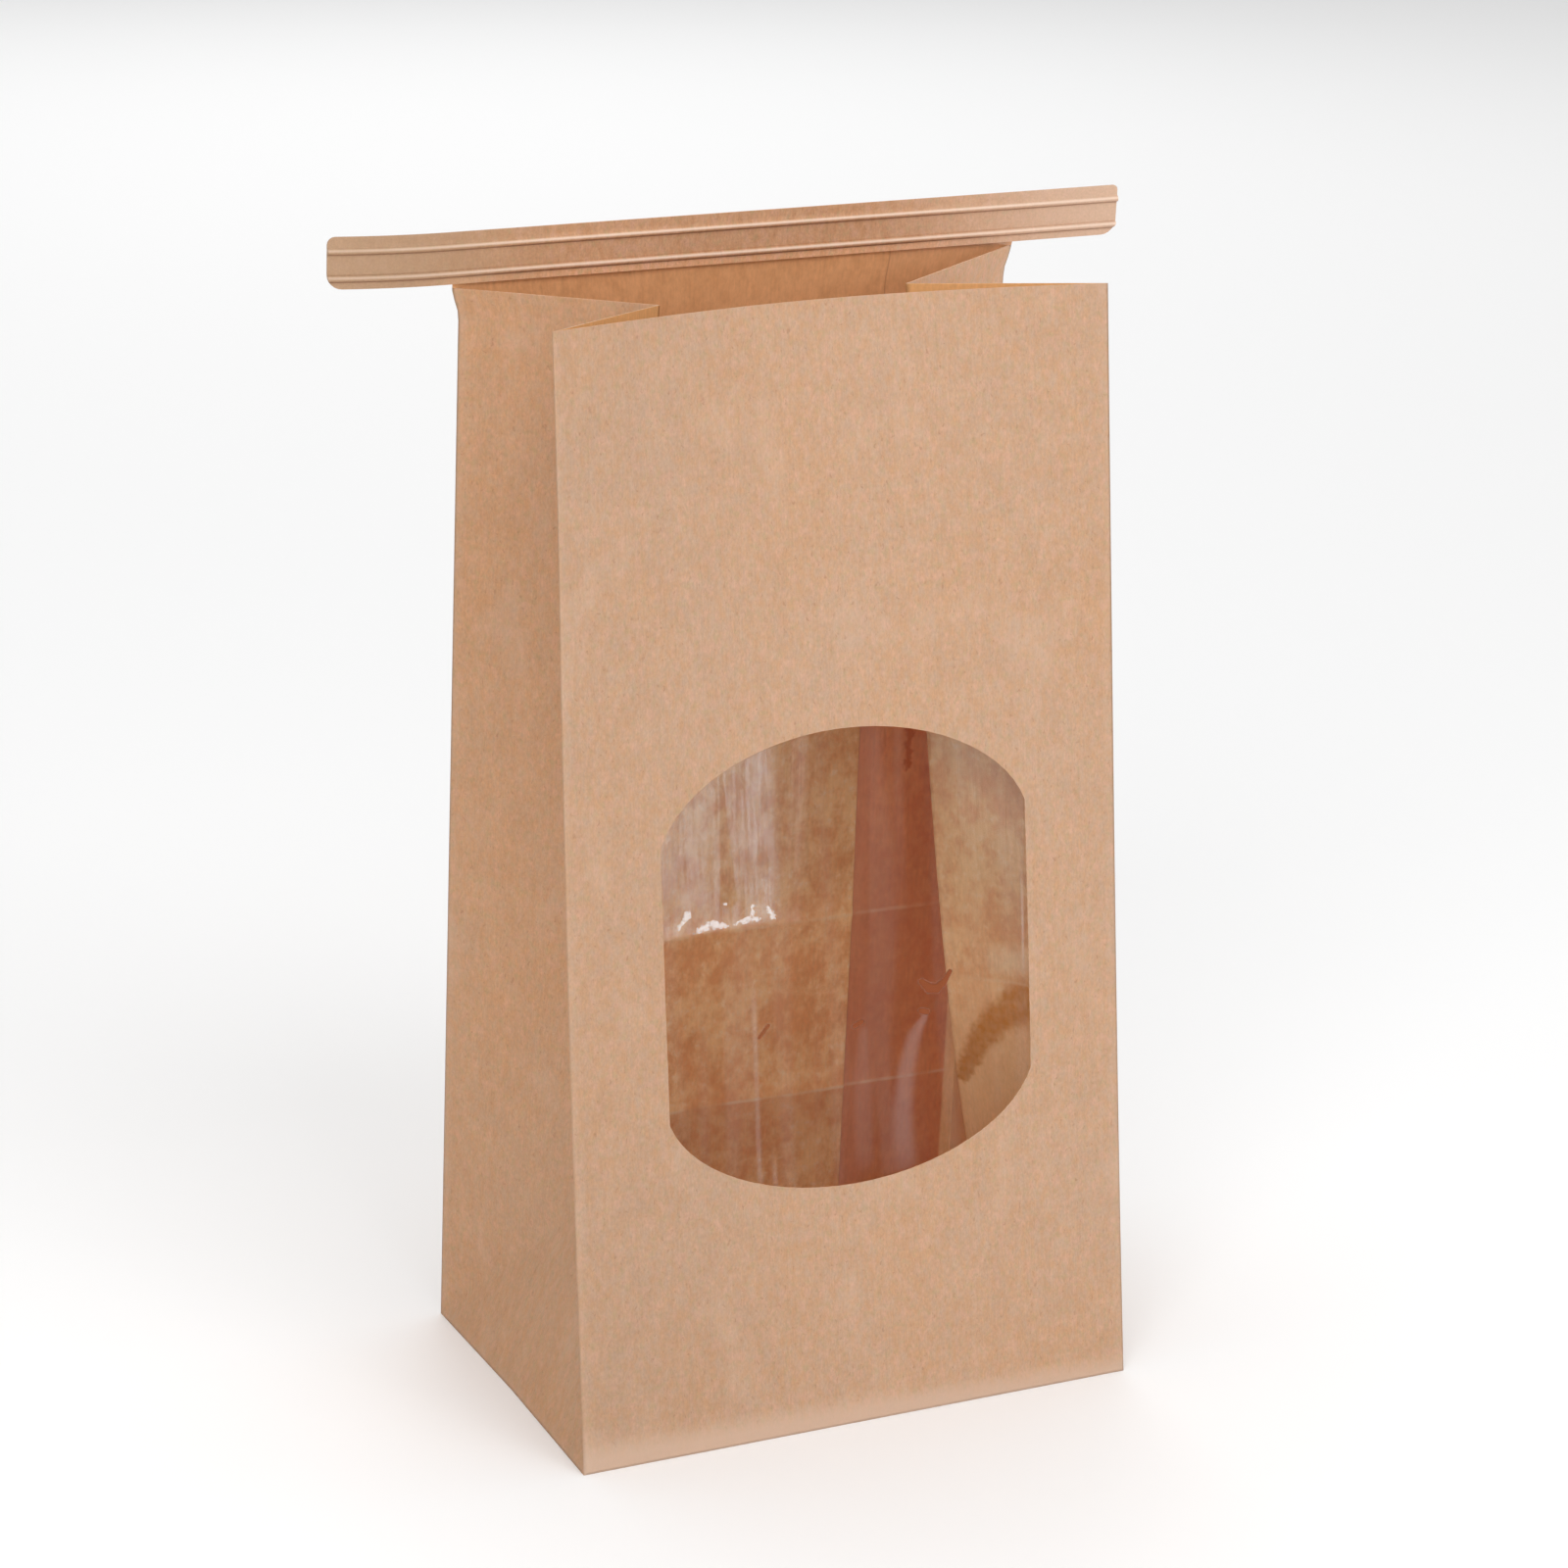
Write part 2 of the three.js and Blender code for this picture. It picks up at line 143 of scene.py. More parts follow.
def spread_at(fraction, height):
    """How far the foot's spread has moved a point of the front panel, with its fraction across."""
    fade = (1 - min(height / SHEET_HEIGHT, 1.0)) ** 4
    bow = CORNER_BOW * math.sin(math.pi * min(height / BOW_HEIGHT, 1.0))
    follow = max(1 - fraction / BOW_REACH, 0.0) ** 2
    return Vector((-(CORNER_SPREAD * fade + bow) * follow, -FOOT_SPREAD * fade, 0))


def corner_at(side, end, height):
    """A point of a corner fold, with the lip's flare at the back and the foot's spread."""
    point = corner_line(side, end, height)
    if end == "front":
        return point + spread_at(0 if side == "left" else 1, height)
    flare = smoothstep(height, SHEET_HEIGHT - FLARE_HEIGHT, SHEET_HEIGHT)
    point.x += SIDE_SIGN[side] * CORNER_FLARE * flare
    return point


def gusset_fold_in(side, height):
    """How far a side's middle crease folds in."""
    level = min(max(height, HALF_DEPTH), SHEET_HEIGHT)
    half_gap = (corner_line(side, "back", level).y - corner_line(side, "front", level).y) / 2
    return math.sqrt(HALF_DEPTH**2 - half_gap**2)


def crease_at(side, height):
    """A point of a side's middle crease, which leans in from the base up to the apex."""
    if height < HALF_DEPTH:
        foot = Vector((SIDE_SIGN[side] * HALF_WIDTH, 0, 0))
        return foot.lerp(crease_at(side, HALF_DEPTH), height / HALF_DEPTH)
    front, back = (corner_line(side, end, height) for end in ("front", "back"))
    apex = gusset_fold_in(side, HALF_DEPTH)
    apex_drop = HALF_DEPTH - math.sqrt(HALF_DEPTH**2 - apex**2)
    climb = (height - HALF_DEPTH) / (SHEET_HEIGHT - HALF_DEPTH)
    return Vector((
        SIDE_SIGN[side] * (HALF_WIDTH - gusset_fold_in(side, height)),
        (front.y + back.y) / 2,
        (front.z + back.z) / 2 - lerp(apex_drop, CREASE_DROP, climb),
    ))


def gusset_point(side, end, fraction, height):
    """A point of a gusset half, from its corner fold (0) to the middle crease (1)."""
    if height >= HALF_DEPTH:
        return corner_at(side, end, height).lerp(crease_at(side, height), fraction)
    climb = height / HALF_DEPTH
    apex = crease_at(side, HALF_DEPTH)
    foot = corner_at(side, end, 0)
    if fraction <= climb:
        corner = corner_at(side, end, HALF_DEPTH)
        return foot.lerp(corner, climb) + (apex - corner) * fraction
    middle = Vector((SIDE_SIGN[side] * HALF_WIDTH, 0, 0))
    return middle + (apex - middle) * climb + (foot - middle) * (1 - fraction)


def panel_point(end, x, height):
    """A point of the front or back panel."""
    fraction = x / WIDTH + 0.5
    across = math.sin(math.pi * fraction)
    climb = min(height / SHEET_HEIGHT, 1.0)
    if end == "front":
        point = corner_line("left", end, height).lerp(corner_line("right", end, height), fraction)
        point.y += FRONT_BOW * across * climb**2
        return point + spread_at(fraction, height)
    point = corner_at("left", end, height).lerp(corner_at("right", end, height), fraction)
    point.y += BACK_BULGE * across * math.sin(math.pi * climb)
    return point


FOLD_SPAN = 1.2  # the bottom folds turn into the flaps in this length


def flap_point(foot, inward, length, layer):
    """A point of a bottom flap, folded flat under the bag at the given layer."""
    point = foot + inward * length
    point.z = layer * LAYER * smoothstep(length, 0, FOLD_SPAN)
    return point


def fold(u, v):
    """Where a point of the flat sheet's outer face goes in the standing bag."""
    height, under = max(v, 0.0), max(-v, 0.0)
    if U_FRONT_LEFT <= u <= U_FRONT_RIGHT:
        point = panel_point("front", u - U_FRONT_MIDDLE, height)
        return flap_point(point, Vector((0, 1, 0)), under, 1) if under else point
    for side, crease, low, high in (
        ("left", U_LEFT_CREASE, U_BACK_LEFT, U_FRONT_LEFT),
        ("right", U_RIGHT_CREASE, U_FRONT_RIGHT, U_BACK_RIGHT),
    ):
        if low < u < high:
            towards_back = (u < crease) == (side == "left")
            end = "back" if towards_back else "front"
            point = gusset_point(side, end, 1 - abs(u - crease) / HALF_DEPTH, height)
            inward = Vector((-SIDE_SIGN[side], 0, 0))
            return flap_point(point, inward, under, 2) if under else point
    right_part = u >= U_BACK_RIGHT
    x = HALF_WIDTH - (u - U_BACK_RIGHT) if right_part else LAP_EDGE - u
    point = panel_point("back", x, height)
    if under:
        point = flap_point(point, Vector((0, -1, 0)), under, 0)
    if not right_part:
        lap_start = LAP_EDGE - LAP_WIDTH
        inner = LAYER * smoothstep(x, lap_start - LAP_STEP, lap_start)
        point += Vector((0, 0, inner)) if under > FOLD_SPAN else Vector((0, -inner, 0))
    return point


# ---- Relief: how far the sheet stands out of its folded planes ---------------------------------

CREASE_HEIGHTS = (38.6, 79.3)  # left by the flat-folded bottom
CREASE_RISE = {"front": 0.1, "side": 0.16, "back": -0.35}
CREASE_REACH = 2.2
BACK_LEAN = 0.7  # between its creases the back panel leans a little, as it was folded
SWELL = 0.32  # the sheet's broad unevenness
RIPPLE = 0.1
FOOT_BULGE = 0.55  # the front panel, just above its bottom fold
FOOT_BULGE_HEIGHT = {"left": 7.6, "right": 3.8}


def foot_height(u):
    """How high the front panel's rounded foot reaches."""
    across = (u - U_FRONT_LEFT) / WIDTH
    return lerp(FOOT_BULGE_HEIGHT["left"], FOOT_BULGE_HEIGHT["right"], across)


def slack(u, v, seed, size_u, size_v):
    return noise.noise(Vector((u / size_u, v / size_v, seed)))


def tent(value, middle, reach):
    return max(0.0, 1 - abs(value - middle) / reach)


CREASES = (U_LEFT_CREASE, U_RIGHT_CREASE)
CORNER_FOLDS = (U_BACK_LEFT, U_FRONT_LEFT, U_FRONT_RIGHT, U_BACK_RIGHT)
FOLD_LINES = CREASES + CORNER_FOLDS


def relief(u, v):
    """The paper's own unevenness, outward, in millimetres. It dies away at the folds."""
    if v < 0:
        return 0.0
    clear_of_folds = smoothstep(min(abs(u - line) for line in FOLD_LINES), 0, 14)
    lift = clear_of_folds * smoothstep(v, 0, 20)
    out = lift * (SWELL * slack(u, v, 1.7, 34, 60) + RIPPLE * slack(u, v, 8.1, 11, 17))
    on_front = U_FRONT_LEFT < u < U_FRONT_RIGHT
    on_back = u < U_BACK_LEFT or u > U_BACK_RIGHT
    rise = CREASE_RISE["front" if on_front else "back" if on_back else "side"]
    for height in CREASE_HEIGHTS:
        wander = 0.5 * slack(u, height, 3.3, 25, 1)
        out += tent(v, height + wander, CREASE_REACH) * rise * smoothstep(clear_of_folds, 0, 0.6)
    if on_back:
        low, high = CREASE_HEIGHTS
        out -= BACK_LEAN * lift * tent(v, high, high - low)
    if on_front:
        out += FOOT_BULGE * math.sin(math.pi * min(v / foot_height(u), 1.0)) ** 1.5
    return out


# ---- Mesh helpers ------------------------------------------------------------------------------


def steps(start, stop, size):
    """Even steps of about the given size from start to stop, with a narrow one at each end."""
    edge = 0.6
    count = max(1, round((stop - start - 2 * edge) / size))
    inner = [lerp(start + edge, stop - edge, i / count) for i in range(count + 1)]
    return [start, *inner, stop]


def joined(*runs):
    """Runs of steps that follow on from each other, as one list."""
    out = list(runs[0])
    for run in runs[1:]:
        out += run[1:]
    return out


def flat_grid(us, vs):
    """A flat sheet whose columns and rows lie at the given places."""
    bm = bmesh.new()
    uv = bm.loops.layers.uv.new("flat")
    bmesh.ops.create_grid(bm, x_segments=len(us) - 1, y_segments=len(vs) - 1, size=0.5)
    for vert in bm.verts:
        column = round((vert.co.x + 0.5) * (len(us) - 1))
        row = round((vert.co.y + 0.5) * (len(vs) - 1))
        vert.co = (us[column], vs[row], 0)
    return bm, uv


def centre(face):
    return face.calc_center_median()


def once(items):
    """Each item one time, in an order that is the same on each run."""
    return list(dict.fromkeys(items))


def cut_line(bm, faces, start, end, slop=0.0):
    """Cuts the given faces of a flat sheet along a line, where they touch its stretch."""
    low = Vector((min(start.x, end.x) - slop, min(start.y, end.y) - slop))
    high = Vector((max(start.x, end.x) + slop, max(start.y, end.y) + slop))
    near = []
    for face in faces:
        xs = [vert.co.x for vert in face.verts]
        ys = [vert.co.y for vert in face.verts]
        if max(xs) >= low.x and min(xs) <= high.x and max(ys) >= low.y and min(ys) <= high.y:
            near.append(face)
    along = (end - start).normalized()
    geom = list(near)
    for face in near:
        geom += [*face.edges, *face.verts]
    cut = bmesh.ops.bisect_plane(
        bm, geom=once(geom), dist=1e-4, plane_co=start, plane_no=(along.y, -along.x, 0)
    )
    return once([*faces, *(item for item in cut["geom"] if isinstance(item, bmesh.types.BMFace))])


def alive(faces):
    return [face for face in faces if face.is_valid]


def cut_outline(bm, faces, outline):
    """Cuts faces of a flat sheet along a closed convex outline, anticlockwise.
    Returns those inside it and those outside."""
    corners = [Vector((x, y, 0)) for x, y in outline]
    edges = list(zip(corners, corners[1:] + corners[:1]))
    for start, end in edges:
        faces = alive(cut_line(bm, faces, start, end, slop=1e-3))

    def is_inside(face):
        middle = centre(face)
        return all((end - start).cross(middle - start).z > 0 for start, end in edges)

    inside, outside = [], []
    for face in faces:
        (inside if is_inside(face) else outside).append(face)
    return inside, outside


def remove(bm, faces):
    bmesh.ops.delete(bm, geom=faces, context="FACES")


def store_flat(bm, uv):
    """Keeps each point's place on the flat sheet, in metres, for the material."""
    for face in bm.faces:
        for loop in face.loops:
            loop[uv].uv = (loop.vert.co.x * MM, loop.vert.co.y * MM)


def arc(cx, cy, rx, ry, first, last, count):
    """Points along part of an ellipse, angles in degrees."""
    points = []
    for i in range(count + 1):
        angle = math.radians(lerp(first, last, i / count))
        points.append((cx + rx * math.cos(angle), cy + ry * math.sin(angle)))
    return points


def finished(bm, name, materials):
    """The mesh as an object in the frame, in metres."""
    bmesh.ops.scale(bm, vec=(MM, MM, MM), verts=bm.verts)
    mesh = bpy.data.meshes.new(name)
    bm.to_mesh(mesh)
    bm.free()
    piece = bpy.data.objects.new(name, mesh)
    bpy.context.scene.collection.objects.link(piece)
    for material in materials:
        mesh.materials.append(material)
    return piece


def thicken(piece, thickness, inner, rim):
    """Gives a sheet its thickness, inward, with its own material slots inside and at cut edges."""
    shell = piece.modifiers.new("thickness", "SOLIDIFY")
    shell.thickness = thickness * MM
    shell.offset = -1
    shell.use_even_offset = True
    shell.material_offset = inner
    shell.material_offset_rim = rim
    apply_modifiers(piece)


def apply_modifiers(piece):
    depsgraph = bpy.context.evaluated_depsgraph_get()
    mesh = bpy.data.meshes.new_from_object(piece.evaluated_get(depsgraph))
    piece.modifiers.clear()
    piece.data = mesh


def smooth_but_cut_edges(piece):
    """Smooth folds, with a hard line only where the face meets the cut edge of the sheet."""
    bm = bmesh.new()
    bm.from_mesh(piece.data)
    for face in bm.faces:
        face.smooth = True
    for edge in bm.edges:
        if len({face.material_index for face in edge.link_faces}) > 1:
            edge.smooth = False
    bm.to_mesh(piece.data)
    bm.free()


# ---- Material helpers --------------------------------------------------------------------------


class Nodes:
    """A material's node tree, with the few kinds of node these finishes need."""

    def __init__(self, name):
        self.material = bpy.data.materials.new(name)
        self.material.use_nodes = True
        self.tree = self.material.node_tree
        self.tree.nodes.clear()
        self.shader = self.add("ShaderNodeBsdfPrincipled")
        self.output = self.add("ShaderNodeOutputMaterial")
        self.link(self.shader.outputs[0], self.output.inputs["Surface"])

    def add(self, kind, **settings):
        node = self.tree.nodes.new(kind)
        for key, value in settings.items():
            setattr(node, key, value)
        return node

    def link(self, source, target):
        self.tree.links.new(source, target)

    def put(self, socket, value):
        if isinstance(value, bpy.types.NodeSocket):
            self.link(value, socket)
        else:
            socket.default_value = value

    def math(self, operation, *values, clamp=False):
        node = self.add("ShaderNodeMath", operation=operation, use_clamp=clamp)
        for socket, value in zip(node.inputs, values):
            self.put(socket, value)
        return node.outputs[0]

    def times(self, first, second):
        return self.math("MULTIPLY", first, second)

    def without(self, mask):
        """1 where the mask is 0, and 0 where it is 1."""
        return self.math("SUBTRACT", 1.0, mask)

    def vector(self, operation, *values, scale=None):
        node = self.add("ShaderNodeVectorMath", operation=operation)
        for socket, value in zip(node.inputs, values):
            self.put(socket, value)
        if scale is not None:
            self.put(node.inputs["Scale"], scale)
        return node.outputs["Value" if operation in ("DOT_PRODUCT", "LENGTH") else "Vector"]

    def flat(self):
        """The place on the flat sheet, in metres."""
        return self.add("ShaderNodeUVMap", uv_map="flat").outputs[0]

    def u_and_v(self):
        """The place on the flat sheet, in millimetres."""
        node = self.add("ShaderNodeSeparateXYZ")
        self.link(self.flat(), node.inputs[0])
        return [self.math("DIVIDE", node.outputs[i], MM) for i in (0, 1)]

    def ragged_place(self, size, throw, seed):
        """The place on the flat sheet in millimetres, thrown about by noise of the given size."""
        shift = self.noise(size, size, detail=3, roughness=0.7, seed=seed, output="Color")
        shift = self.vector("SUBTRACT", shift, (0.5, 0.5, 0.5))
        place = self.vector("SCALE", self.flat(), scale=1 / MM)
        return self.vector("ADD", place, self.vector("SCALE", shift, scale=throw))

    def attribute(self, name):
        return self.add("ShaderNodeAttribute", attribute_name=name).outputs["Fac"]

    def noise(
        self, size_u, size_v, detail=2.0, roughness=0.5, seed=0.0, distortion=0.0, output="Fac"
    ):
        """Noise on the flat sheet, with features of about the given size in millimetres."""
        mapping = self.add("ShaderNodeMapping")
        mapping.inputs["Scale"].default_value = (1000 / size_u, 1000 / size_v, 1)
        mapping.inputs["Location"].default_value = (seed * 7.1, seed * 3.7, seed)
        self.link(self.flat(), mapping.inputs[0])
        node = self.add("ShaderNodeTexNoise")
        self.link(mapping.outputs[0], node.inputs["Vector"])
        node.inputs["Scale"].default_value = 1.0
        node.inputs["Detail"].default_value = detail
        node.inputs["Roughness"].default_value = roughness
        node.inputs["Distortion"].default_value = distortion
        return node.outputs[output]

    def ramp(self, value, low, high):
        """0 below low, 1 above high, with a soft start and end."""
        node = self.add("ShaderNodeMapRange", clamp=True, interpolation_type="SMOOTHSTEP")
        self.put(node.inputs["Value"], value)
        node.inputs["From Min"].default_value = low
        node.inputs["From Max"].default_value = high
        return node.outputs["Result"]

    def scaled(self, value, low, high):
        """A 0 to 1 value, spread from low to high."""
        node = self.add("ShaderNodeMapRange", clamp=True)
        self.put(node.inputs["Value"], value)
        node.inputs["To Min"].default_value = low
        node.inputs["To Max"].default_value = high
        return node.outputs["Result"]

    def mix(self, factor, first, second, blend="MIX"):
        node = self.add("ShaderNodeMix", data_type="RGBA", blend_type=blend)
        node.clamp_factor = True
        self.put(node.inputs[0], factor)
        self.put(node.inputs[6], first)
        self.put(node.inputs[7], second)
        return node.outputs[2]

    def tint(self, color, other, mask, strength):
        """The colour, mixed as strongly as given with another one where the mask is."""
        return self.mix(self.times(mask, strength), color, other)

    def shade(self, color, amount):
        """The colour made darker or lighter by a factor near 1."""
        return self.vector("SCALE", color, scale=amount)

    def vary(self, color, value, low, high):
        """The colour, shaded by a factor from low to high as the value goes from 0 to 1."""
        return self.shade(color, self.scaled(value, low, high))

    def bump(self, height, distance, strength):
        """Fine relief of the given height in millimetres."""
        node = self.add("ShaderNodeBump")
        node.inputs["Strength"].default_value = strength
        node.inputs["Distance"].default_value = distance * MM
        self.put(node.inputs["Height"], height)
        self.link(node.outputs[0], self.shader.inputs["Normal"])

    def stroke(self, place, points, edge=0.4):
        """1 inside a run of strokes. Each point is its u, its v and the stroke's reach there."""
        nearest = None
        for (u, v, reach), (next_u, next_v, next_reach) in zip(points, points[1:]):
            along = Vector((next_u - u, next_v - v, 0))
            off = self.vector("SUBTRACT", place, (u, v, 0))
            share = self.vector("DOT_PRODUCT", off, along)
            share = self.math("DIVIDE", share, along.length_squared, clamp=True)
            foot = self.vector("SCALE", along, scale=share)
            far = self.vector("LENGTH", self.vector("SUBTRACT", off, foot))
            reach_there = self.math("MULTIPLY_ADD", share, next_reach - reach, reach)
            far = self.math("DIVIDE", far, reach_there)
            nearest = far if nearest is None else self.math("MINIMUM", nearest, far)
        return self.without(self.ramp(nearest, 1 - edge, 1 + edge))

    def band(self, value, low, high, soft):
        """1 between low and high, with soft sides."""
        rise = self.ramp(value, low - soft / 2, low + soft / 2)
        fall = self.ramp(value, high - soft / 2, high + soft / 2)
        return self.math("SUBTRACT", rise, fall, clamp=True)

    def line(self, value, at, reach):
        """1 on a line and 0 at its reach to either side."""
        off = self.math("ABSOLUTE", self.math("SUBTRACT", value, at))
        return self.without(self.ramp(self.math("DIVIDE", off, reach), 0, 1))

    def total(self, *values):
        """The strongest of several masks."""
        out = values[0]
        for value in values[1:]:
            out = self.math("MAXIMUM", out, value)
        return out

    def let_light_through(self, share, color):
        """Paper passes some of the light behind it."""
        glow = self.add("ShaderNodeBsdfTranslucent")
        self.put(glow.inputs["Color"], color)
        mixed = self.add("ShaderNodeMixShader")
        self.put(mixed.inputs[0], share)
        self.link(self.shader.outputs[0], mixed.inputs[1])
        self.link(glow.outputs[0], mixed.inputs[2])
        self.link(mixed.outputs[0], self.output.inputs["Surface"])

    def set(self, socket, value):
        self.put(self.shader.inputs[socket], value)

    def finish(self, color, roughness, specular):
        self.set("Base Color", color)
        self.set("Roughness", roughness)
        self.set("Specular IOR Level", specular)


def rgb(red, green, blue):
    """A colour given as it looks on screen, 0 to 255."""
    linear = []
    for value in (red, green, blue):
        share = value / 255
        is_dark = share <= 0.04045  # here the screen's curve is a straight line
        linear.append(share / 12.92 if is_dark else ((share + 0.055) / 1.055) ** 2.4)
    return (*linear, 1.0)


# ---- Materials ---------------------------------------------------------------------------------

KRAFT_GREY = rgb(194, 159, 131)
KRAFT_WARM = rgb(198, 152, 113)
KRAFT_PINK = rgb(206, 160, 132)
KRAFT_OLIVE = rgb(184, 155, 114)
KRAFT_FLECK = rgb(156, 102, 60)
KRAFT_WORN_AND_SHEEN = rgb(214, 182, 158)
# painted light: the left gusset is tinted warmer, for the warmer light on that side
LEFT_GUSSET_LIGHT_TINT = (1.12, 1.04, 0.92, 1.0)
RIGHT_GUSSET_LIGHT = 1.24
RIGHT_GUSSET_BRIGHT = (150.0, 205.0)  # painted light, rising between these heights, where the gusset turns to the light
SEE_THROUGH = 0.1  # the share of light that passes the paper

# Painted shade: the front panel is a little darker on its left part, and more so low down.
SHADE_ACROSS = (U_FRONT_LEFT + 70, U_FRONT_LEFT + 5)
SHADE_HEIGHTS = (100.0, 20.0)
SHADE_DEPTH = 0.05
SMUDGE = 0.2
FOOT_SHEEN = 0.8


def kraft_fibres(nodes, grey, warm):
    """Kraft's colour: greyer and warmer pulp in small soft blotches, fine grain and flecks."""
    blotches = nodes.noise(1.5, 3.0, detail=4, roughness=0.65, seed=1)
    broad = nodes.noise(24, 40, detail=2, seed=2)
    pulp = nodes.math("MULTIPLY_ADD", blotches, 0.7, nodes.times(broad, 0.3))
    color = nodes.mix(nodes.ramp(pulp, 0.35, 0.65), grey, warm)
    pink = nodes.ramp(nodes.noise(1.8, 2.8, detail=3, seed=7), 0.46, 0.7)
    color = nodes.tint(color, KRAFT_PINK, pink, 0.7)
    olive = nodes.ramp(nodes.noise(1.4, 1.8, detail=3, seed=10), 0.52, 0.72)
    color = nodes.tint(color, KRAFT_OLIVE, olive, 0.6)
    clouds = nodes.noise(5, 9, detail=3, roughness=0.6, seed=18)
    color = nodes.vary(color, clouds, 0.9, 1.1)
    grain = nodes.noise(0.42, 0.9, detail=3, roughness=0.7, seed=3)
    color = nodes.vary(color, grain, 0.74, 1.26)
    streaks = nodes.noise(0.5, 7, detail=3, roughness=0.65, seed=4)
    color = nodes.vary(color, streaks, 0.9, 1.1)
    flecks = nodes.noise(0.7, 1.3, detail=2, roughness=0.6, seed=5, distortion=0.6)
    color = nodes.tint(color, KRAFT_FLECK, nodes.ramp(flecks, 0.62, 0.74), 0.4)
    return color, grain


def kraft_material():
    """The outer face: bare kraft, rubbed at its folds with a painted highlight along them, a
    painted sheen at its foot, painted shade low on the front panel's left part, and painted light
    on the gussets.
    """
    nodes = Nodes("kraft_outside")
    color, grain = kraft_fibres(nodes, KRAFT_GREY, KRAFT_WARM)
    u, v = nodes.u_and_v()
    # painted warmer light on the left gusset
    left_gusset = nodes.band(u, U_BACK_LEFT, U_FRONT_LEFT, 2)
    color = nodes.mix(left_gusset, color, LEFT_GUSSET_LIGHT_TINT, blend="MULTIPLY")
    # painted light on the right gusset near the mouth
    right_gusset = nodes.band(u, U_FRONT_RIGHT, U_BACK_RIGHT, 2)
    near_mouth = nodes.times(right_gusset, nodes.ramp(v, *RIGHT_GUSSET_BRIGHT))
    color = nodes.vary(color, near_mouth, 1.0, RIGHT_GUSSET_LIGHT)
    # painted shade on the front panel's left part, deeper low down
    low_part = nodes.ramp(v, *SHADE_HEIGHTS)
    painted_shade = nodes.math("MULTIPLY_ADD", low_part, SHADE_DEPTH, SHADE_DEPTH)
    painted_shade = nodes.times(nodes.ramp(u, *SHADE_ACROSS), painted_shade)
    color = nodes.shade(color, nodes.without(painted_shade))
    broken = nodes.scaled(nodes.noise(2.0, 5, detail=2, seed=6), 0.05, 0.4)
    # rubbed pale folds, partly a painted highlight along each fold
    color = nodes.tint(color, KRAFT_WORN_AND_SHEEN, nodes.attribute("wear_and_highlight"), broken)
    smudges = nodes.ramp(nodes.noise(14, 22, detail=2, seed=9), 0.55, 0.75)
    color = nodes.tint(color, KRAFT_WORN_AND_SHEEN, smudges, SMUDGE)
    # painted sheen along the front panel's rounded foot
    color = nodes.tint(color, KRAFT_WORN_AND_SHEEN, nodes.attribute("foot"), FOOT_SHEEN)
    nodes.finish(color, nodes.scaled(grain, 0.5, 0.66), 0.6)
    nodes.bump(grain, 0.05, 0.6)
    nodes.let_light_through(SEE_THROUGH, color)
    return nodes.material


LINING_PALE = rgb(247, 202, 144)
LINING_DEEP = rgb(227, 160, 103)
LINING_PLAIN = rgb(218, 161, 111)
LINING_PLAIN_PALE = rgb(234, 176, 126)
LINING_SPECK_AND_HIGHLIGHT = rgb(250, 224, 184)
LINING_DULL = rgb(216, 176, 148)
LINING_GOLD = rgb(255, 200, 134)
LINING_LIT = rgb(255, 210, 154)
LINING_SHADE = rgb(206, 128, 82)
RAW_INSIDE = rgb(222, 146, 90)
RAW_DEEP = rgb(206, 118, 66)
RAW_VEIL = rgb(224, 150, 114)
STAIN = rgb(202, 126, 36)
RAW_SHADE = rgb(150, 92, 56)
GLUE = rgb(204, 98, 20)
LINING_MARGIN = 3.0  # past the back right corner fold, the lining ends and raw kraft starts
LAP_ON_RAW = U_BACK_RIGHT + HALF_WIDTH - LAP_EDGE  # the lap's inner layer covers the rest of it

MOTTLE_FADE = (130.0, 185.0)  # the lining is mottled below these heights, and plain above them
BACK_LIT = (36.0, 84.0)  # painted light: the back panel is lighter between its creases, where it leans to the light
BACK_LIT_GAIN = 1.12
RAW_GLOW = (85.0, 110.0)  # painted light: the raw strip is brighter above these heights
RAW_GLOW_GAIN = 1.18
LIP_STRIP = (190.0, 215.0)  # painted golden light inside the front corners, near the mouth

# The stain on the right gusset, a pale patch above it, and a streak of glue on the raw strip. Each
# point is its u, its v and the reach of the stroke there.
STAIN_PATH = (
    (306.0, 76.5, 4.6), (312.5, 75.6, 4.4), (319.5, 71.0, 3.2),
    (325.2, 64.5, 2.6), (329.6, 56.4, 1.7),
)
PALE_PATCH = ((318.5, 84.0, 2.6), (309.0, 85.0, 2.4), (300.0, 84.0, 2.0))
GLUE_STREAK = ((386.2, 123.0, 1.1), (386.2, 116.0, 0.9), (386.4, 111.0, 0.4))
CREASE_MARK = (0.6, 0.3)  # how strong the lower and the upper crease show on the lining
CREASE_WANDER = 1.4


def crease_height(nodes, v):
    """The height on the sheet, wandering a little, so that lines drawn by it aren't ruled."""
    wander = nodes.times(nodes.noise(18, 1000, detail=2, seed=8), CREASE_WANDER)
    return nodes.math("ADD", nodes.math("SUBTRACT", v, CREASE_WANDER / 2), wander)


def crease_marks(nodes, height):
    """Pale lines across the lining, where the bottom was once folded flat against the wall, partly
    a painted highlight along each crease.
    """
    lines = []
    for crease, strength in zip(CREASE_HEIGHTS, CREASE_MARK):
        lines.append(nodes.times(nodes.line(height, crease, 0.7), strength))
    broken = nodes.ramp(nodes.noise(9, 1000, detail=3, seed=9), 0.4, 0.66)
    return nodes.times(nodes.total(*lines), nodes.scaled(broken, 0.15, 1.0))


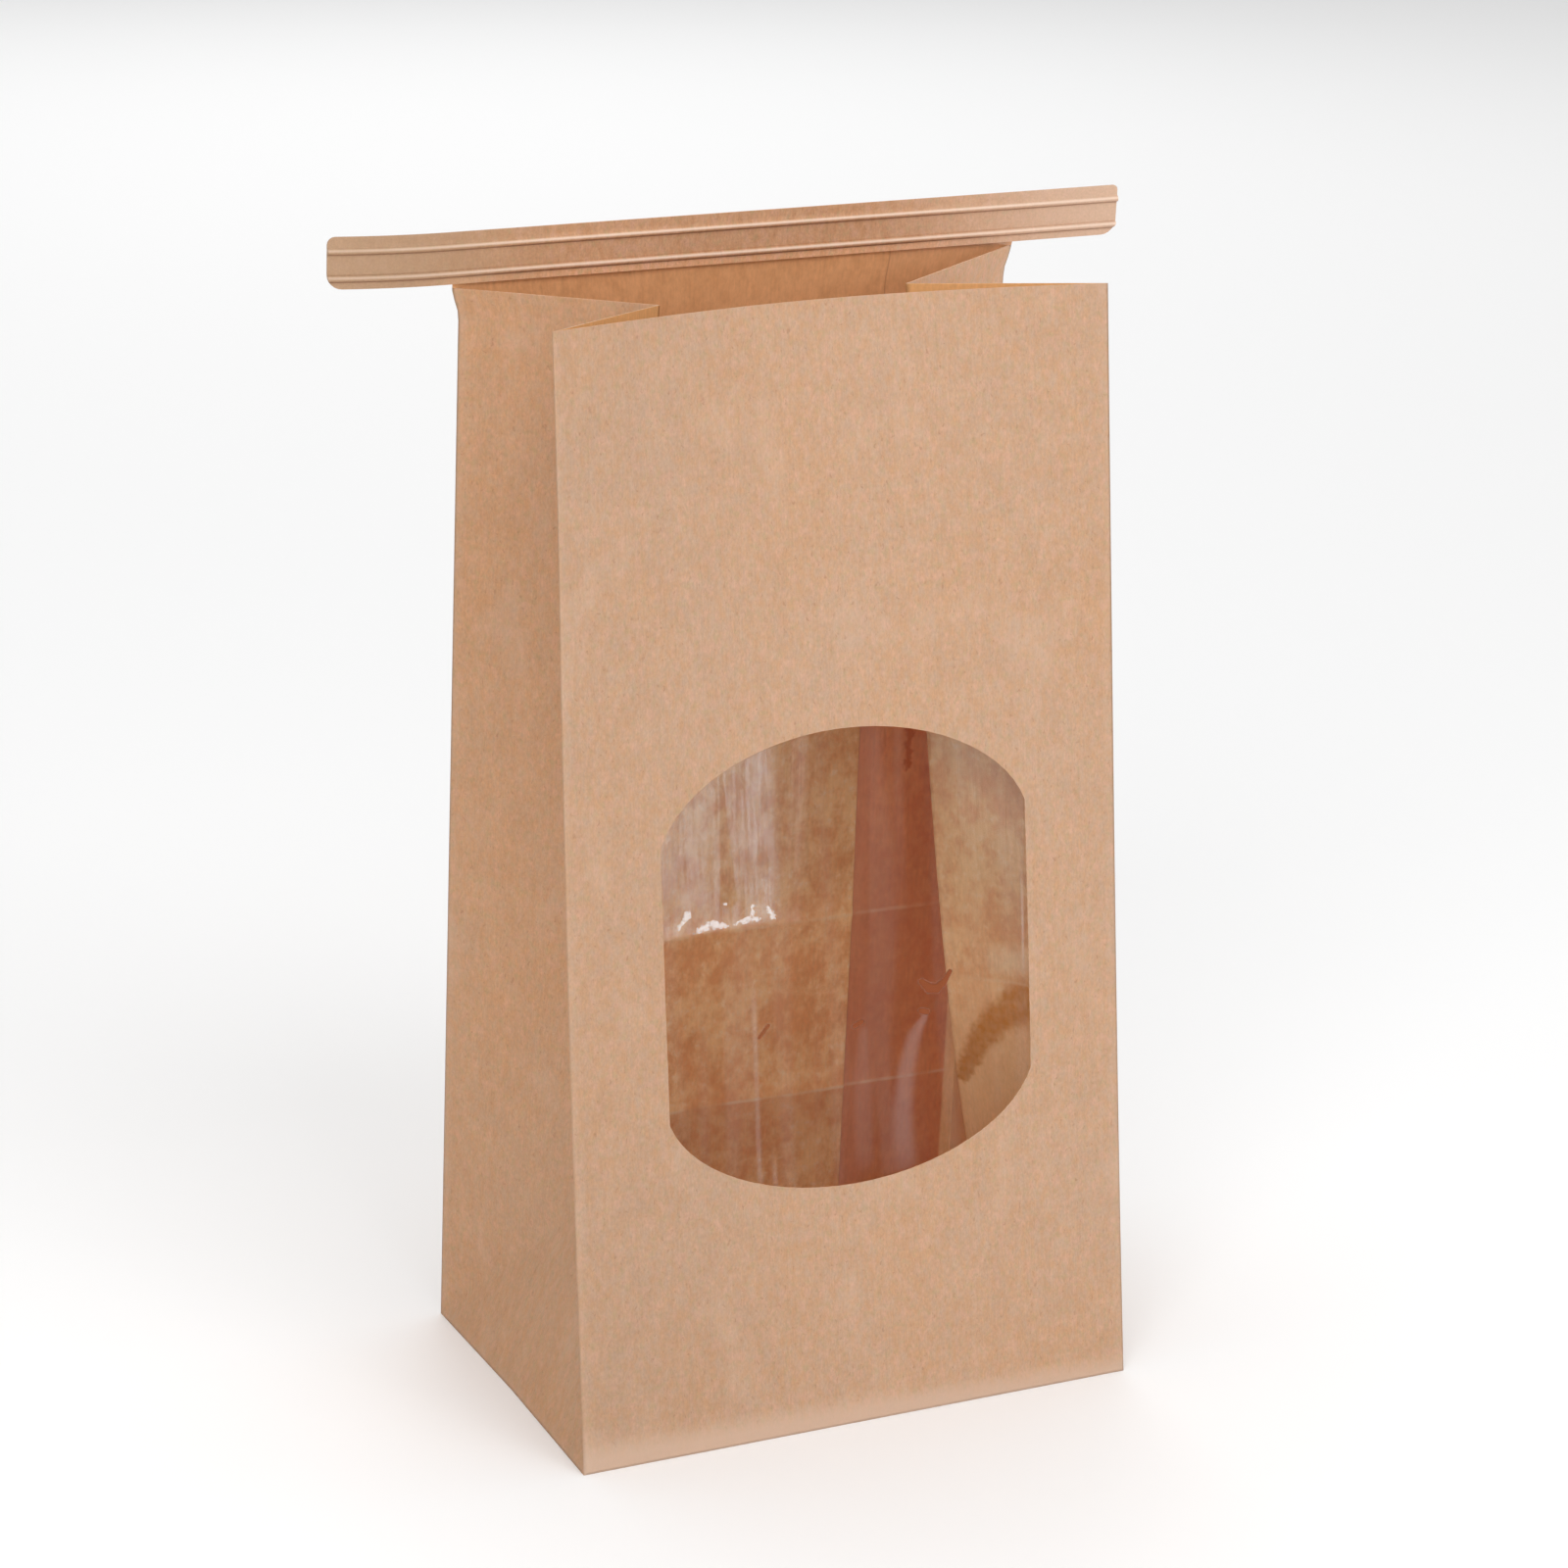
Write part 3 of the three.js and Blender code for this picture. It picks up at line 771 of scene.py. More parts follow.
def lining_material():
    """The inner face: waxy lined kraft, mottled, and a raw strip along the lap, with painted light
    and painted shade on its walls.
    """
    nodes = Nodes("kraft_inside")
    u, v = nodes.u_and_v()
    clouds = nodes.noise(3.0, 4.0, detail=5, roughness=0.68, seed=11)
    patches = nodes.noise(13, 16, detail=2, seed=17)
    specks = nodes.noise(1.7, 2.2, detail=3, roughness=0.6, seed=12)
    grain = nodes.noise(0.6, 1.6, detail=3, roughness=0.7, seed=13)
    mottled = nodes.without(nodes.ramp(v, *MOTTLE_FADE))
    cloudy = nodes.math("MULTIPLY_ADD", clouds, 0.6, nodes.times(patches, 0.4))
    color = nodes.mix(nodes.ramp(cloudy, 0.38, 0.62), LINING_DEEP, LINING_PALE)
    plain = nodes.mix(nodes.ramp(cloudy, 0.35, 0.65), LINING_PLAIN, LINING_PLAIN_PALE)
    color = nodes.mix(mottled, plain, color)
    speck = nodes.times(nodes.ramp(specks, 0.5, 0.74), nodes.ramp(cloudy, 0.44, 0.6))
    speck = nodes.times(speck, mottled)
    color = nodes.tint(color, LINING_SPECK_AND_HIGHLIGHT, speck, 0.6)
    height = crease_height(nodes, v)

    back = nodes.band(u, 0, U_BACK_LEFT, 2)
    # painted light on the back wall between its creases
    lit = nodes.times(back, nodes.band(v, *BACK_LIT, 12))
    color = nodes.vary(color, lit, 1.0, BACK_LIT_GAIN)
    # painted shade on the back wall under its lower crease
    low_crease = CREASE_HEIGHTS[0]
    under_crease = nodes.ramp(height, low_crease + 0.4, low_crease - 0.4)
    under_crease = nodes.times(nodes.times(under_crease, nodes.ramp(v, 20, 38)), back)
    color = nodes.tint(color, LINING_SHADE, under_crease, 0.35)

    gusset = nodes.times(nodes.band(u, U_FRONT_RIGHT, U_RIGHT_CREASE, 1), mottled)
    color = nodes.tint(color, LINING_DULL, gusset, 0.25)
    # painted shade high on the right gusset's front half, and painted light low down
    gusset_gain = nodes.scaled(nodes.ramp(v, 108, 70), 0.86, 1.1)
    color = nodes.mix(gusset, color, nodes.shade(color, gusset_gain))
    # painted light on the right gusset's lower part and behind its crease
    low_gusset = nodes.times(gusset, nodes.ramp(v, 90, 50))
    color = nodes.tint(color, LINING_LIT, low_gusset, 0.8)
    lining_end = U_BACK_RIGHT + LINING_MARGIN
    behind_crease = nodes.band(u, U_RIGHT_CREASE, lining_end, 0.6)
    behind_crease = nodes.times(behind_crease, nodes.ramp(v, 110, 70))
    color = nodes.tint(color, LINING_LIT, behind_crease, 0.7)
    # painted golden light inside the front corners, near the mouth
    lip_strip = nodes.total(
        nodes.band(u, U_LEFT_CREASE, U_FRONT_LEFT, 1),
        nodes.band(u, U_FRONT_RIGHT, U_RIGHT_CREASE, 1),
    )
    lip_strip = nodes.times(lip_strip, nodes.ramp(v, *LIP_STRIP))
    color = nodes.tint(color, LINING_GOLD, lip_strip, 0.7)
    ragged = nodes.ragged_place(2.2, 3.4, seed=15)
    patch = nodes.stroke(ragged, PALE_PATCH, edge=0.8)
    color = nodes.tint(color, LINING_SPECK_AND_HIGHLIGHT, patch, 0.5)
    stain = nodes.stroke(ragged, STAIN_PATH, edge=0.4)
    uneven = nodes.scaled(nodes.noise(2.0, 2.0, detail=3, seed=19), 0.35, 1.15)
    color = nodes.tint(color, STAIN, stain, uneven)

    raw = nodes.ramp(u, lining_end - 0.3, lining_end + 0.3)
    inward = nodes.math("SUBTRACT", LAP_ON_RAW, u)
    raw_color = nodes.mix(nodes.ramp(cloudy, 0.3, 0.7), RAW_DEEP, RAW_INSIDE)
    # painted light on the raw strip, lighter further in from the lap and higher up
    raw_color = nodes.vary(raw_color, nodes.ramp(inward, 4, 24), 0.98, 1.12)
    raw_color = nodes.vary(raw_color, nodes.ramp(v, *RAW_GLOW), 1.0, RAW_GLOW_GAIN)
    veil_width = nodes.scaled(nodes.ramp(v, 90, 20), 4.2, 7.0)
    across = nodes.math("DIVIDE", inward, veil_width)
    raw_veil = nodes.without(nodes.ramp(across, 0.5, 1.3))
    raw_color = nodes.tint(raw_color, RAW_VEIL, raw_veil, 0.5)
    glue = nodes.stroke(ragged, GLUE_STREAK, edge=0.6)
    raw_color = nodes.tint(raw_color, GLUE, glue, 0.9)
    color = nodes.tint(color, raw_color, raw, mottled)
    # painted shadow along the lap's inner edge
    color = nodes.tint(color, RAW_SHADE, nodes.line(u, LAP_ON_RAW, 0.5), 0.6)
    color = nodes.vary(color, grain, 0.82, 1.18)
    streaks = nodes.noise(0.7, 10, detail=3, roughness=0.65, seed=14)
    color = nodes.vary(color, streaks, 0.88, 1.12)

    # pale crease lines, partly a painted highlight
    color = nodes.mix(crease_marks(nodes, height), color, LINING_SPECK_AND_HIGHLIGHT)
    nodes.finish(color, nodes.scaled(raw, 0.2, 0.42), 0.9)
    crinkle = nodes.noise(1.6, 40, detail=3, roughness=0.6, seed=16)
    waves = nodes.math("MULTIPLY_ADD", clouds, 0.5, crinkle)
    nodes.bump(waves, 0.2, 0.35)
    nodes.let_light_through(SEE_THROUGH, color)
    return nodes.material


EDGE_PLAIN = rgb(214, 170, 132)
EDGE_PALE = rgb(232, 196, 164)


def cut_edge_material():
    """The cut edge of the sheet, paler than its faces."""
    nodes = Nodes("kraft_cut_edge")
    grain = nodes.noise(0.9, 0.9, detail=2, seed=21)
    color = nodes.mix(nodes.ramp(grain, 0.35, 0.65), EDGE_PLAIN, EDGE_PALE)
    nodes.finish(color, 0.85, 0.2)
    return nodes.material


FILM_CLEAR = (0.95, 0.92, 0.92, 1.0)
FILM_MARK = rgb(138, 62, 0)

# On the film, each point is its x, its height on the panel and the reach of the stroke there.
CRUMPLE_GLINTS = (
    ((-36.3, 106.4, 0.3), (-34.2, 108.9, 0.8)),
    ((-32.6, 105.6, 0.3), (-29.0, 106.3, 0.9), (-25.6, 105.8, 0.35)),
    ((-23.8, 105.8, 0.3), (-20.6, 106.3, 0.75), (-19.2, 105.9, 0.5)),
    ((-20.6, 106.3, 0.7), (-19.9, 108.8, 0.25)),
    ((-16.9, 107.9, 0.35), (-15.7, 106.0, 0.7)),
    ((-26.0, 109.9, 0.35), (-25.8, 110.0, 0.35)),
)
REFLECTION_STREAKS = (
    ((17.3, 81.8, 0.5), (14.6, 77.6, 1.3), (12.6, 71.0, 1.7), (11.4, 62.0, 2.1), (11.6, 50.0, 2.3)),
    ((3.2, 80.0, 0.8), (2.4, 71.0, 1.5), (2.6, 54.0, 1.8)),
)
REFLECTION_STREAK_STRENGTH = (1.0, 0.4)
FILM_MARKS = (
    (
        (16.5, 88.4, 0.65), (18.2, 86.8, 0.95), (20.0, 86.5, 0.9),
        (21.6, 87.7, 0.7), (23.0, 89.6, 0.45),
    ),
    ((16.1, 82.5, 0.55), (17.6, 82.1, 0.55)),
    ((1.4, 81.4, 0.5), (2.9, 82.0, 0.5)),
)
FAINT_MARK = ((-19.6, 82.2, 0.4), (-17.6, 84.4, 0.4))
DARK_FOLD = ((-25.9, 137.0, 0.3), (-25.7, 122.0, 1.1), (-25.1, 111.0, 1.9))
REFLECTION_COLUMN = ((-18.0, 148.0, 2.6), (-18.2, 128.0, 1.9), (-18.2, 108.0, 1.5))
CRUMPLE_LINE = 105.2  # the painted reflection on the film's left part lies above this height, where the film is drawn tight
REFLECTION_RIGHT = -14.5
FILM_EDGE_GLINT = (39.3, 98.0)  # a painted glint beside the window's right edge: x, and its middle's height

# How strongly each thing shows on the film.
SHOWS = {"reflection": 0.078, "line_reflection": 0.045, "edge": 0.07, "streak_path": 0.036, "glint": 0.36}
MARK_SHOWS = 0.85
BARE_FILM = 0.006
HAZE = 0.012
EDGE_ON_FILM = 0.25  # film seen along its face

# Upright lines of painted reflection below the crumpled line: x, the height of the upper end, and
# the reach.
REFLECTION_LINES = ((-29.4, 42.0, 0.8), (-20.6, 96.0, 1.0), (-17.4, 60.0, 0.9), (-19.4, 40.0, 2.6))


def film_material():
    """Clear film: a faint haze, a painted reflection with painted glints along a crumpled line,
    painted reflection lines and streaks, a painted edge glint and a few brown marks.
    """
    nodes = Nodes("window_film_clear")
    x, v = nodes.u_and_v()
    place = nodes.ragged_place(1.1, 0.4, seed=34)
    ragged = nodes.ragged_place(1.3, 2.6, seed=33)
    soft = nodes.ragged_place(4.0, 2.4, seed=35)
    streaks = nodes.noise(1.2, 30, detail=4, roughness=0.7, seed=31)
    mottle = nodes.noise(2.4, 5.5, detail=3, roughness=0.6, seed=36)
    # painted reflection on the film's upper left part, above the crumpled line
    above = nodes.ramp(v, CRUMPLE_LINE - 0.6, CRUMPLE_LINE + 0.6)
    left = nodes.ramp(nodes.math("ADD", x, mottle), REFLECTION_RIGHT + 2.5, REFLECTION_RIGHT - 1.5)
    uneven = nodes.math("MULTIPLY_ADD", streaks, 0.6, nodes.times(mottle, 0.4))
    uneven = nodes.ramp(uneven, 0.3, 0.7)
    reflection = nodes.times(nodes.times(above, left), nodes.scaled(uneven, -0.05, 1.25))
    # a brighter column in the painted reflection
    column = nodes.times(nodes.stroke(soft, REFLECTION_COLUMN, edge=0.8), above)
    column = nodes.times(column, nodes.scaled(uneven, 0.4, 1.0))
    reflection = nodes.math("MULTIPLY_ADD", column, 0.6, reflection)
    # a fold where the painted reflection breaks
    dark_fold = nodes.times(nodes.stroke(place, DARK_FOLD, edge=0.3), 0.95)
    reflection = nodes.times(reflection, nodes.without(dark_fold))
    # upright lines of painted reflection
    line_reflections = []
    for at, top, reach in REFLECTION_LINES:
        below = nodes.ramp(v, top, top - 8)
        line_reflections.append(nodes.times(nodes.line(x, at, reach), below))
    lines = nodes.times(nodes.total(*line_reflections), nodes.scaled(uneven, 0.5, 1.0))
    # a painted glint beside the window's right edge
    edge_x, edge_v = FILM_EDGE_GLINT
    edge_glint = nodes.times(nodes.line(x, edge_x, 0.4), nodes.line(v, edge_v, 15))
    # curved streaks of painted reflection
    streak_reflections = []
    for streak_path, strength in zip(REFLECTION_STREAKS, REFLECTION_STREAK_STRENGTH):
        streak_reflections.append(nodes.times(nodes.stroke(place, streak_path, edge=0.7), strength))
    streak_reflections = nodes.times(nodes.total(*streak_reflections), nodes.ramp(v, 40, 60))
    # painted glints along the crumpled line
    holes = nodes.ramp(nodes.noise(0.7, 0.6, detail=2, seed=37), 0.34, 0.5)
    glints = nodes.total(*(nodes.stroke(ragged, points, edge=0.25) for points in CRUMPLE_GLINTS))
    glints = nodes.times(glints, nodes.scaled(holes, 0.3, 1.0))
    marks = nodes.total(*(nodes.stroke(place, points, edge=0.25) for points in FILM_MARKS))
    marks = nodes.total(marks, nodes.times(nodes.stroke(place, FAINT_MARK), 0.6))
    marked = nodes.ramp(marks, 0, 0.3)

    haze = nodes.ramp(nodes.noise(5.5, 90, detail=1, seed=32), 0.45, 0.7)
    haze = nodes.times(haze, HAZE)
    edge_on = nodes.add("ShaderNodeLayerWeight").outputs["Facing"]
    haze = nodes.math("MULTIPLY_ADD", nodes.math("POWER", edge_on, 4.0), EDGE_ON_FILM, haze)
    alpha = nodes.math("ADD", haze, BARE_FILM)
    masks = {
        "reflection": reflection, "line_reflection": lines, "edge": edge_glint, "streak_path": streak_reflections, "glint": glints
    }
    for name, mask in masks.items():
        alpha = nodes.math("MULTIPLY_ADD", mask, SHOWS[name], alpha)
    marks = nodes.times(marks, MARK_SHOWS)
    alpha = nodes.math("MAXIMUM", alpha, marks, clamp=True)
    nodes.finish(nodes.mix(marked, FILM_CLEAR, FILM_MARK), nodes.scaled(marked, 0.12, 0.7), 0.6)
    nodes.set("Alpha", alpha)
    return nodes.material


TIE_PALE = rgb(204, 159, 123)
TIE_WARM = rgb(194, 144, 104)
TIE_RIGHT_PALE = rgb(212, 182, 160)
TIE_DULL = rgb(172, 142, 114)
TIE_CREST_HIGHLIGHT = rgb(252, 228, 208)
TIE_SHADE = rgb(138, 92, 62)
TIE_FLANGE_LIGHT = 1.3  # painted light: the lower flange, below its wire, turns up to the light
TIE_OVER_BAG = (-62.0, 52.0)  # x of the part that gets this painted light
TIE_RIGHT_PALE_FROM = (20.0, 85.0)  # paler towards the right end
TIE_DULL_FROM = (-30.0, -72.0)  # duller towards the left end


def tie_material():
    """The tie's kraft strip, with a painted highlight along each ridge's crest and painted shade
    under it, and painted light on its lower flange.
    """
    nodes = Nodes("tie_kraft")
    color, grain = kraft_fibres(nodes, TIE_PALE, TIE_WARM)
    x, _ = nodes.u_and_v()
    color = nodes.tint(color, TIE_RIGHT_PALE, nodes.ramp(x, *TIE_RIGHT_PALE_FROM), 0.7)
    color = nodes.tint(color, TIE_DULL, nodes.ramp(x, *TIE_DULL_FROM), 0.75)
    speckle = nodes.noise(0.5, 0.5, detail=3, roughness=0.8, seed=22)
    color = nodes.vary(color, speckle, 0.8, 1.2)
    # painted light on the lower flange where it lies over the bag
    over_bag = nodes.band(x, *TIE_OVER_BAG, 20)
    flange = nodes.times(nodes.attribute("flange"), over_bag)
    color = nodes.vary(color, flange, 1.0, TIE_FLANGE_LIGHT)
    # painted shade under each ridge
    color = nodes.tint(color, TIE_SHADE, nodes.attribute("shade"), 0.6)
    # painted highlight along each ridge's crest, weaker towards the ends
    right_end = nodes.scaled(nodes.ramp(x, 85, 40), 0.6, 1.0)
    rub_and_highlight = nodes.times(nodes.ramp(x, -84, -25), right_end)
    rub_and_highlight = nodes.times(nodes.attribute("wear_and_highlight"), nodes.scaled(rub_and_highlight, 0.35, 0.9))
    color = nodes.mix(rub_and_highlight, color, TIE_CREST_HIGHLIGHT)
    nodes.finish(color, nodes.scaled(grain, 0.55, 0.75), 0.35)
    nodes.bump(grain, 0.06, 0.5)
    return nodes.material


# ---- The bag's paper ---------------------------------------------------------------------------

CELL = 2.0  # about the size of the sheet's faces
CROWN_SEGMENTS = 28
WEAR_REACH = 1.6
LOW_CREASE_WEAR = 0.25  # the gussets' creases are less rubbed, and get less of the painted highlight, below the apex
FOOT_FADE = (0.25, 1.1)  # the painted sheen at the front panel's foot dies away between these shares of its height


def window_outline():
    """The window's outline on the flat sheet, from the front panel's middle line."""
    meet = math.degrees(math.acos(WINDOW_HALF_WIDTH / CROWN_HALF_WIDTH))  # a crown meets a side
    points = []
    for (level, rise), first in ((CROWN_LOW, 180), (CROWN_HIGH, 0)):
        ends = (first + meet, first + 180 - meet)
        points += arc(0, level, CROWN_HALF_WIDTH, rise, *ends, CROWN_SEGMENTS)
    return points


def sheet_columns():
    half = steps(0, HALF_DEPTH, CELL)
    return joined(
        steps(0, LAP_WIDTH, CELL),
        steps(LAP_WIDTH, U_BACK_LEFT, CELL),
        [U_BACK_LEFT + step for step in half],
        [U_LEFT_CREASE + step for step in half],
        steps(U_FRONT_LEFT, U_FRONT_RIGHT, CELL),
        [U_FRONT_RIGHT + step for step in half],
        [U_RIGHT_CREASE + step for step in half],
        steps(U_BACK_RIGHT, U_END - LAP_WIDTH, CELL),
        steps(U_END - LAP_WIDTH, U_END, CELL),
    )


def sheet_rows():
    half = steps(0, HALF_DEPTH, CELL)
    return joined(
        steps(SHEET_BOTTOM, -HALF_DEPTH, CELL),
        [step - HALF_DEPTH for step in half],
        half,
        steps(HALF_DEPTH, CREASE_HEIGHTS[1], CELL),
        steps(CREASE_HEIGHTS[1], SHEET_HEIGHT, CELL),
        steps(SHEET_HEIGHT, SHEET_TOP, CELL),
    )


def back_x(u):
    """x on the back panel, or None off it."""
    if u >= U_BACK_RIGHT:
        return HALF_WIDTH - (u - U_BACK_RIGHT)
    return LAP_EDGE - u if u <= U_BACK_LEFT else None


def is_waste(face):
    """True for the parts of the rectangular sheet that are cut away before folding."""
    u, v, _ = centre(face)
    x = back_x(u)
    if v > SHEET_HEIGHT:
        return x is None
    if v > 0:
        return False
    if x is not None:
        return abs(x) > HALF_WIDTH + v
    if U_FRONT_LEFT < u < U_FRONT_RIGHT:
        return v < -HALF_DEPTH or abs(u - U_FRONT_MIDDLE) > HALF_WIDTH + v
    tuck = 0.6  # the folded-in ends keep clear of the panels beside them
    return v < -HALF_DEPTH or min(abs(u - line) for line in CORNER_FOLDS) < tuck


def mark_wear_and_highlight(bm):
    """How rubbed each point is at the folds, with a painted highlight along them, and how far it is
    in the front panel's foot with its painted sheen.
    """
    folds = bm.verts.layers.float.new("wear_and_highlight")
    foot = bm.verts.layers.float.new("foot")
    for vert in bm.verts:
        u, v, _ = vert.co
        rub_and_highlight = tent(v, 0, WEAR_REACH)
        for line in FOLD_LINES:
            share = LOW_CREASE_WEAR if line in CREASES and v < HALF_DEPTH else 1
            rub_and_highlight = max(rub_and_highlight, tent(u, line, WEAR_REACH) * share)
        vert[folds] = rub_and_highlight
        if U_FRONT_LEFT <= u <= U_FRONT_RIGHT:
            height = foot_height(u)
            vert[foot] = 1 - smoothstep(v, *(height * share for share in FOOT_FADE))


def make_bag():
    bm, uv = flat_grid(sheet_columns(), sheet_rows())

    # The gussets' diagonals, from the bottom corners to the apex, and the mitred flaps.
    for crease in CREASES:
        for side in (-1, 1):
            foot = Vector((crease + side * HALF_DEPTH, 0, 0))
            apex = Vector((crease, HALF_DEPTH, 0))
            cut_line(bm, list(bm.faces), foot, apex)
    for corner, turn in zip(CORNER_FOLDS, (-1, 1, -1, 1)):
        foot = Vector((corner, 0, 0))
        tip = Vector((corner - turn * SHEET_BOTTOM, SHEET_BOTTOM, 0))
        cut_line(bm, list(bm.faces), foot, tip)
    remove(bm, [face for face in bm.faces if is_waste(face)])

    outline = [(U_FRONT_MIDDLE + x, y) for x, y in window_outline()]
    margin = 3
    reach = WINDOW_HALF_WIDTH + margin
    low = WINDOW_BOTTOM - margin
    high = WINDOW_TOP + margin
    around = []
    for face in bm.faces:
        u, v, _ = centre(face)
        if abs(u - U_FRONT_MIDDLE) < reach and low < v < high:
            around.append(face)
    opening, _ = cut_outline(bm, around, outline)
    remove(bm, opening)
    bmesh.ops.dissolve_degenerate(bm, dist=1e-3, edges=bm.edges)

    store_flat(bm, uv)
    mark_wear_and_highlight(bm)
    lifts = [relief(vert.co.x, vert.co.y) for vert in bm.verts]
    for vert in bm.verts:
        vert.co = fold(vert.co.x, vert.co.y)
    bm.normal_update()
    for vert, lift in zip(bm.verts, lifts):
        vert.co += vert.normal * lift
    bag = finished(bm, "bag", [kraft_material(), lining_material(), cut_edge_material()])
    thicken(bag, PAPER, inner=1, rim=2)
    smooth_but_cut_edges(bag)
    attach(bag, "root")
    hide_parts("bag_paper")


# ---- The window film ---------------------------------------------------------------------------

FILM_CELL = 1.0
FILM_SINK = 0.6  # how far the film lies back within the window
FILM_WRINKLE = 0.35
FILM_RIPPLE = 0.12


def film_relief(x, v):
    """How far the film stands back from the panel's plane: its wrinkles, in millimetres."""
    inside = smoothstep(WINDOW_HALF_WIDTH + 2 - abs(x), 0, 8)
    inside *= smoothstep(v, WINDOW_BOTTOM - 2, WINDOW_BOTTOM + 9)
    inside *= smoothstep(v, WINDOW_TOP + 3, WINDOW_TOP - 8)
    upright = FILM_WRINKLE * slack(x, v, 5.5, 5, 60)
    fine = FILM_RIPPLE * slack(x, v, 2.5, 2.2, 9)
    return inside * (FILM_SINK + upright + fine)


def make_film():
    half_span = WINDOW_HALF_WIDTH + FILM_MARGIN
    low = WINDOW_BOTTOM - FILM_MARGIN
    high = WINDOW_TOP + FILM_MARGIN
    bm, uv = flat_grid(steps(-half_span, half_span, FILM_CELL), steps(low, high, FILM_CELL))
    store_flat(bm, uv)
    for vert in bm.verts:
        x, v, _ = vert.co
        vert.co = panel_point("front", x, v)
        vert.co.y += PAPER + FILM_GAP + film_relief(x, v)
    film = finished(bm, "film", [film_material()])
    thicken(film, FILM, inner=0, rim=0)
    smooth_but_cut_edges(film)
    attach(film, "root")
    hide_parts("window_film")


# ---- The tin tie -------------------------------------------------------------------------------

# The strip's rounded corners, anticlockwise from its lower right one: which end and edge, the
# radius, the angle where it starts and the count of its segments.
TIE_CORNERS = (
    (1, "lower", 3.2, 270, 6),
    (1, "upper", 1.0, 0, 4),
    (-1, "upper", 1.6, 90, 4),
    (-1, "lower", 2.8, 180, 6),
)


def tie_outline():
    points = []
    for end, edge, radius, first, count in TIE_CORNERS:
        x = end * (TIE_LENGTH / 2 - radius)
        y = radius if edge == "lower" else TIE_HEIGHT - radius
        points += arc(x, y, radius, radius, first, first + 90, count)
    return points


def wire_heights():
    upper = TIE_HEIGHT - TIE_UPPER_FLANGE
    return upper - TIE_WIRE_SPACING, upper


SHOULDER = 1.8  # the strip comes down to its flat this far from a wire, in half widths
SHOULDER_RISE = 0.12


def ridge(height):
    """How far the strip stands out over its wires, at a height up the strip."""
    out = 0.0
    for wire in wire_heights():
        off = abs(height - wire) / (TIE_RIDGE_WIDTH / 2)
        if off < 1:
            out = max(out, TIE_RIDGE * math.sqrt(1 - off**2))
        elif off < SHOULDER:
            out = max(out, SHOULDER_RISE * (SHOULDER - off) / (SHOULDER - 1))
    return out


# In half widths of a ridge, from its wire: the mesh's rows to either side, and the middle and reach
# of the painted highlight on the crest and of the painted shade under it.
RIDGE_ROWS = (0.15, 0.45, 0.75, 0.92, 1.0, 1.3, 1.8, 2.2)
RIDGE_CREST = (0.35, 0.55)
RIDGE_SHADE = (-1.0, 0.4)
TIE_CELL = 1.6
TIE_SLACK = 0.05


def tie_rows():
    rows = {0.0, 0.3, TIE_HEIGHT - 0.3, TIE_HEIGHT}
    for wire in wire_heights():
        for share in RIDGE_ROWS:
            rows |= {round(wire + side * share * TIE_RIDGE_WIDTH / 2, 4) for side in (-1, 1)}
    gaps = sorted(rows)
    for low, high in zip(gaps, gaps[1:]):
        if high - low > 1.2:
            rows |= {lerp(low, high, 1 / 3), lerp(low, high, 2 / 3)}
    return sorted(rows)


def make_tie():
    end = TIE_LENGTH / 2
    bm, uv = flat_grid(steps(-end, end, TIE_CELL), tie_rows())
    _, waste = cut_outline(bm, list(bm.faces), tie_outline())
    remove(bm, waste)
    bmesh.ops.dissolve_degenerate(bm, dist=1e-3, edges=bm.edges)
    store_flat(bm, uv)
    # Painted highlight on each ridge's crest, painted shade under it, and painted light on the
    # lower flange.
    crest_highlight = bm.verts.layers.float.new("wear_and_highlight")
    shade = bm.verts.layers.float.new("shade")
    flange = bm.verts.layers.float.new("flange")
    lower_wire = min(wire_heights())
    for vert in bm.verts:
        vert[flange] = smoothstep(vert.co.y, lower_wire - 0.5, lower_wire - 1.0)
        for wire in wire_heights():
            up = (vert.co.y - wire) / (TIE_RIDGE_WIDTH / 2)
            vert[crest_highlight] = max(vert[crest_highlight], tent(up, *RIDGE_CREST))
            vert[shade] = max(vert[shade], tent(up, *RIDGE_SHADE))

    # The front face takes its ridges, and its flat back is the same face, one strip further in.
    made = bmesh.ops.extrude_face_region(bm, geom=list(bm.faces))
    back = {item for item in made["geom"] if isinstance(item, bmesh.types.BMVert)}
    lip_foot = panel_point("back", 0, SHEET_HEIGHT)
    tilt = Matrix.Rotation(math.atan2(HALF_DEPTH - lip_foot.y, lip_foot.z), 3, "X")
    place = lip_foot + Vector((TIE_MIDDLE, -2 * LAYER - TIE_GAP - TIE_STRIP, TIE_LIFT))
    for vert in bm.verts:
        x, height, _ = vert.co
        depth = TIE_LEFT_BEND * max((TIE_FREE_END - end - x) / TIE_FREE_END, 0) ** 2
        if vert in back:
            depth += TIE_STRIP
        else:
            depth -= ridge(height) + TIE_SLACK * slack(x, height, 4.4, 12, 6)
        vert.co = place + tilt @ Vector((x, depth, height))
    bmesh.ops.recalc_face_normals(bm, faces=bm.faces)
    tie = finished(bm, "tie", [tie_material()])
    for polygon in tie.data.polygons:
        polygon.use_smooth = True
    tie.data.set_sharp_from_angle(angle=math.radians(50))
    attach(tie, "root")
    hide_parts("tin_tie")


# ---- The set -----------------------------------------------------------------------------------

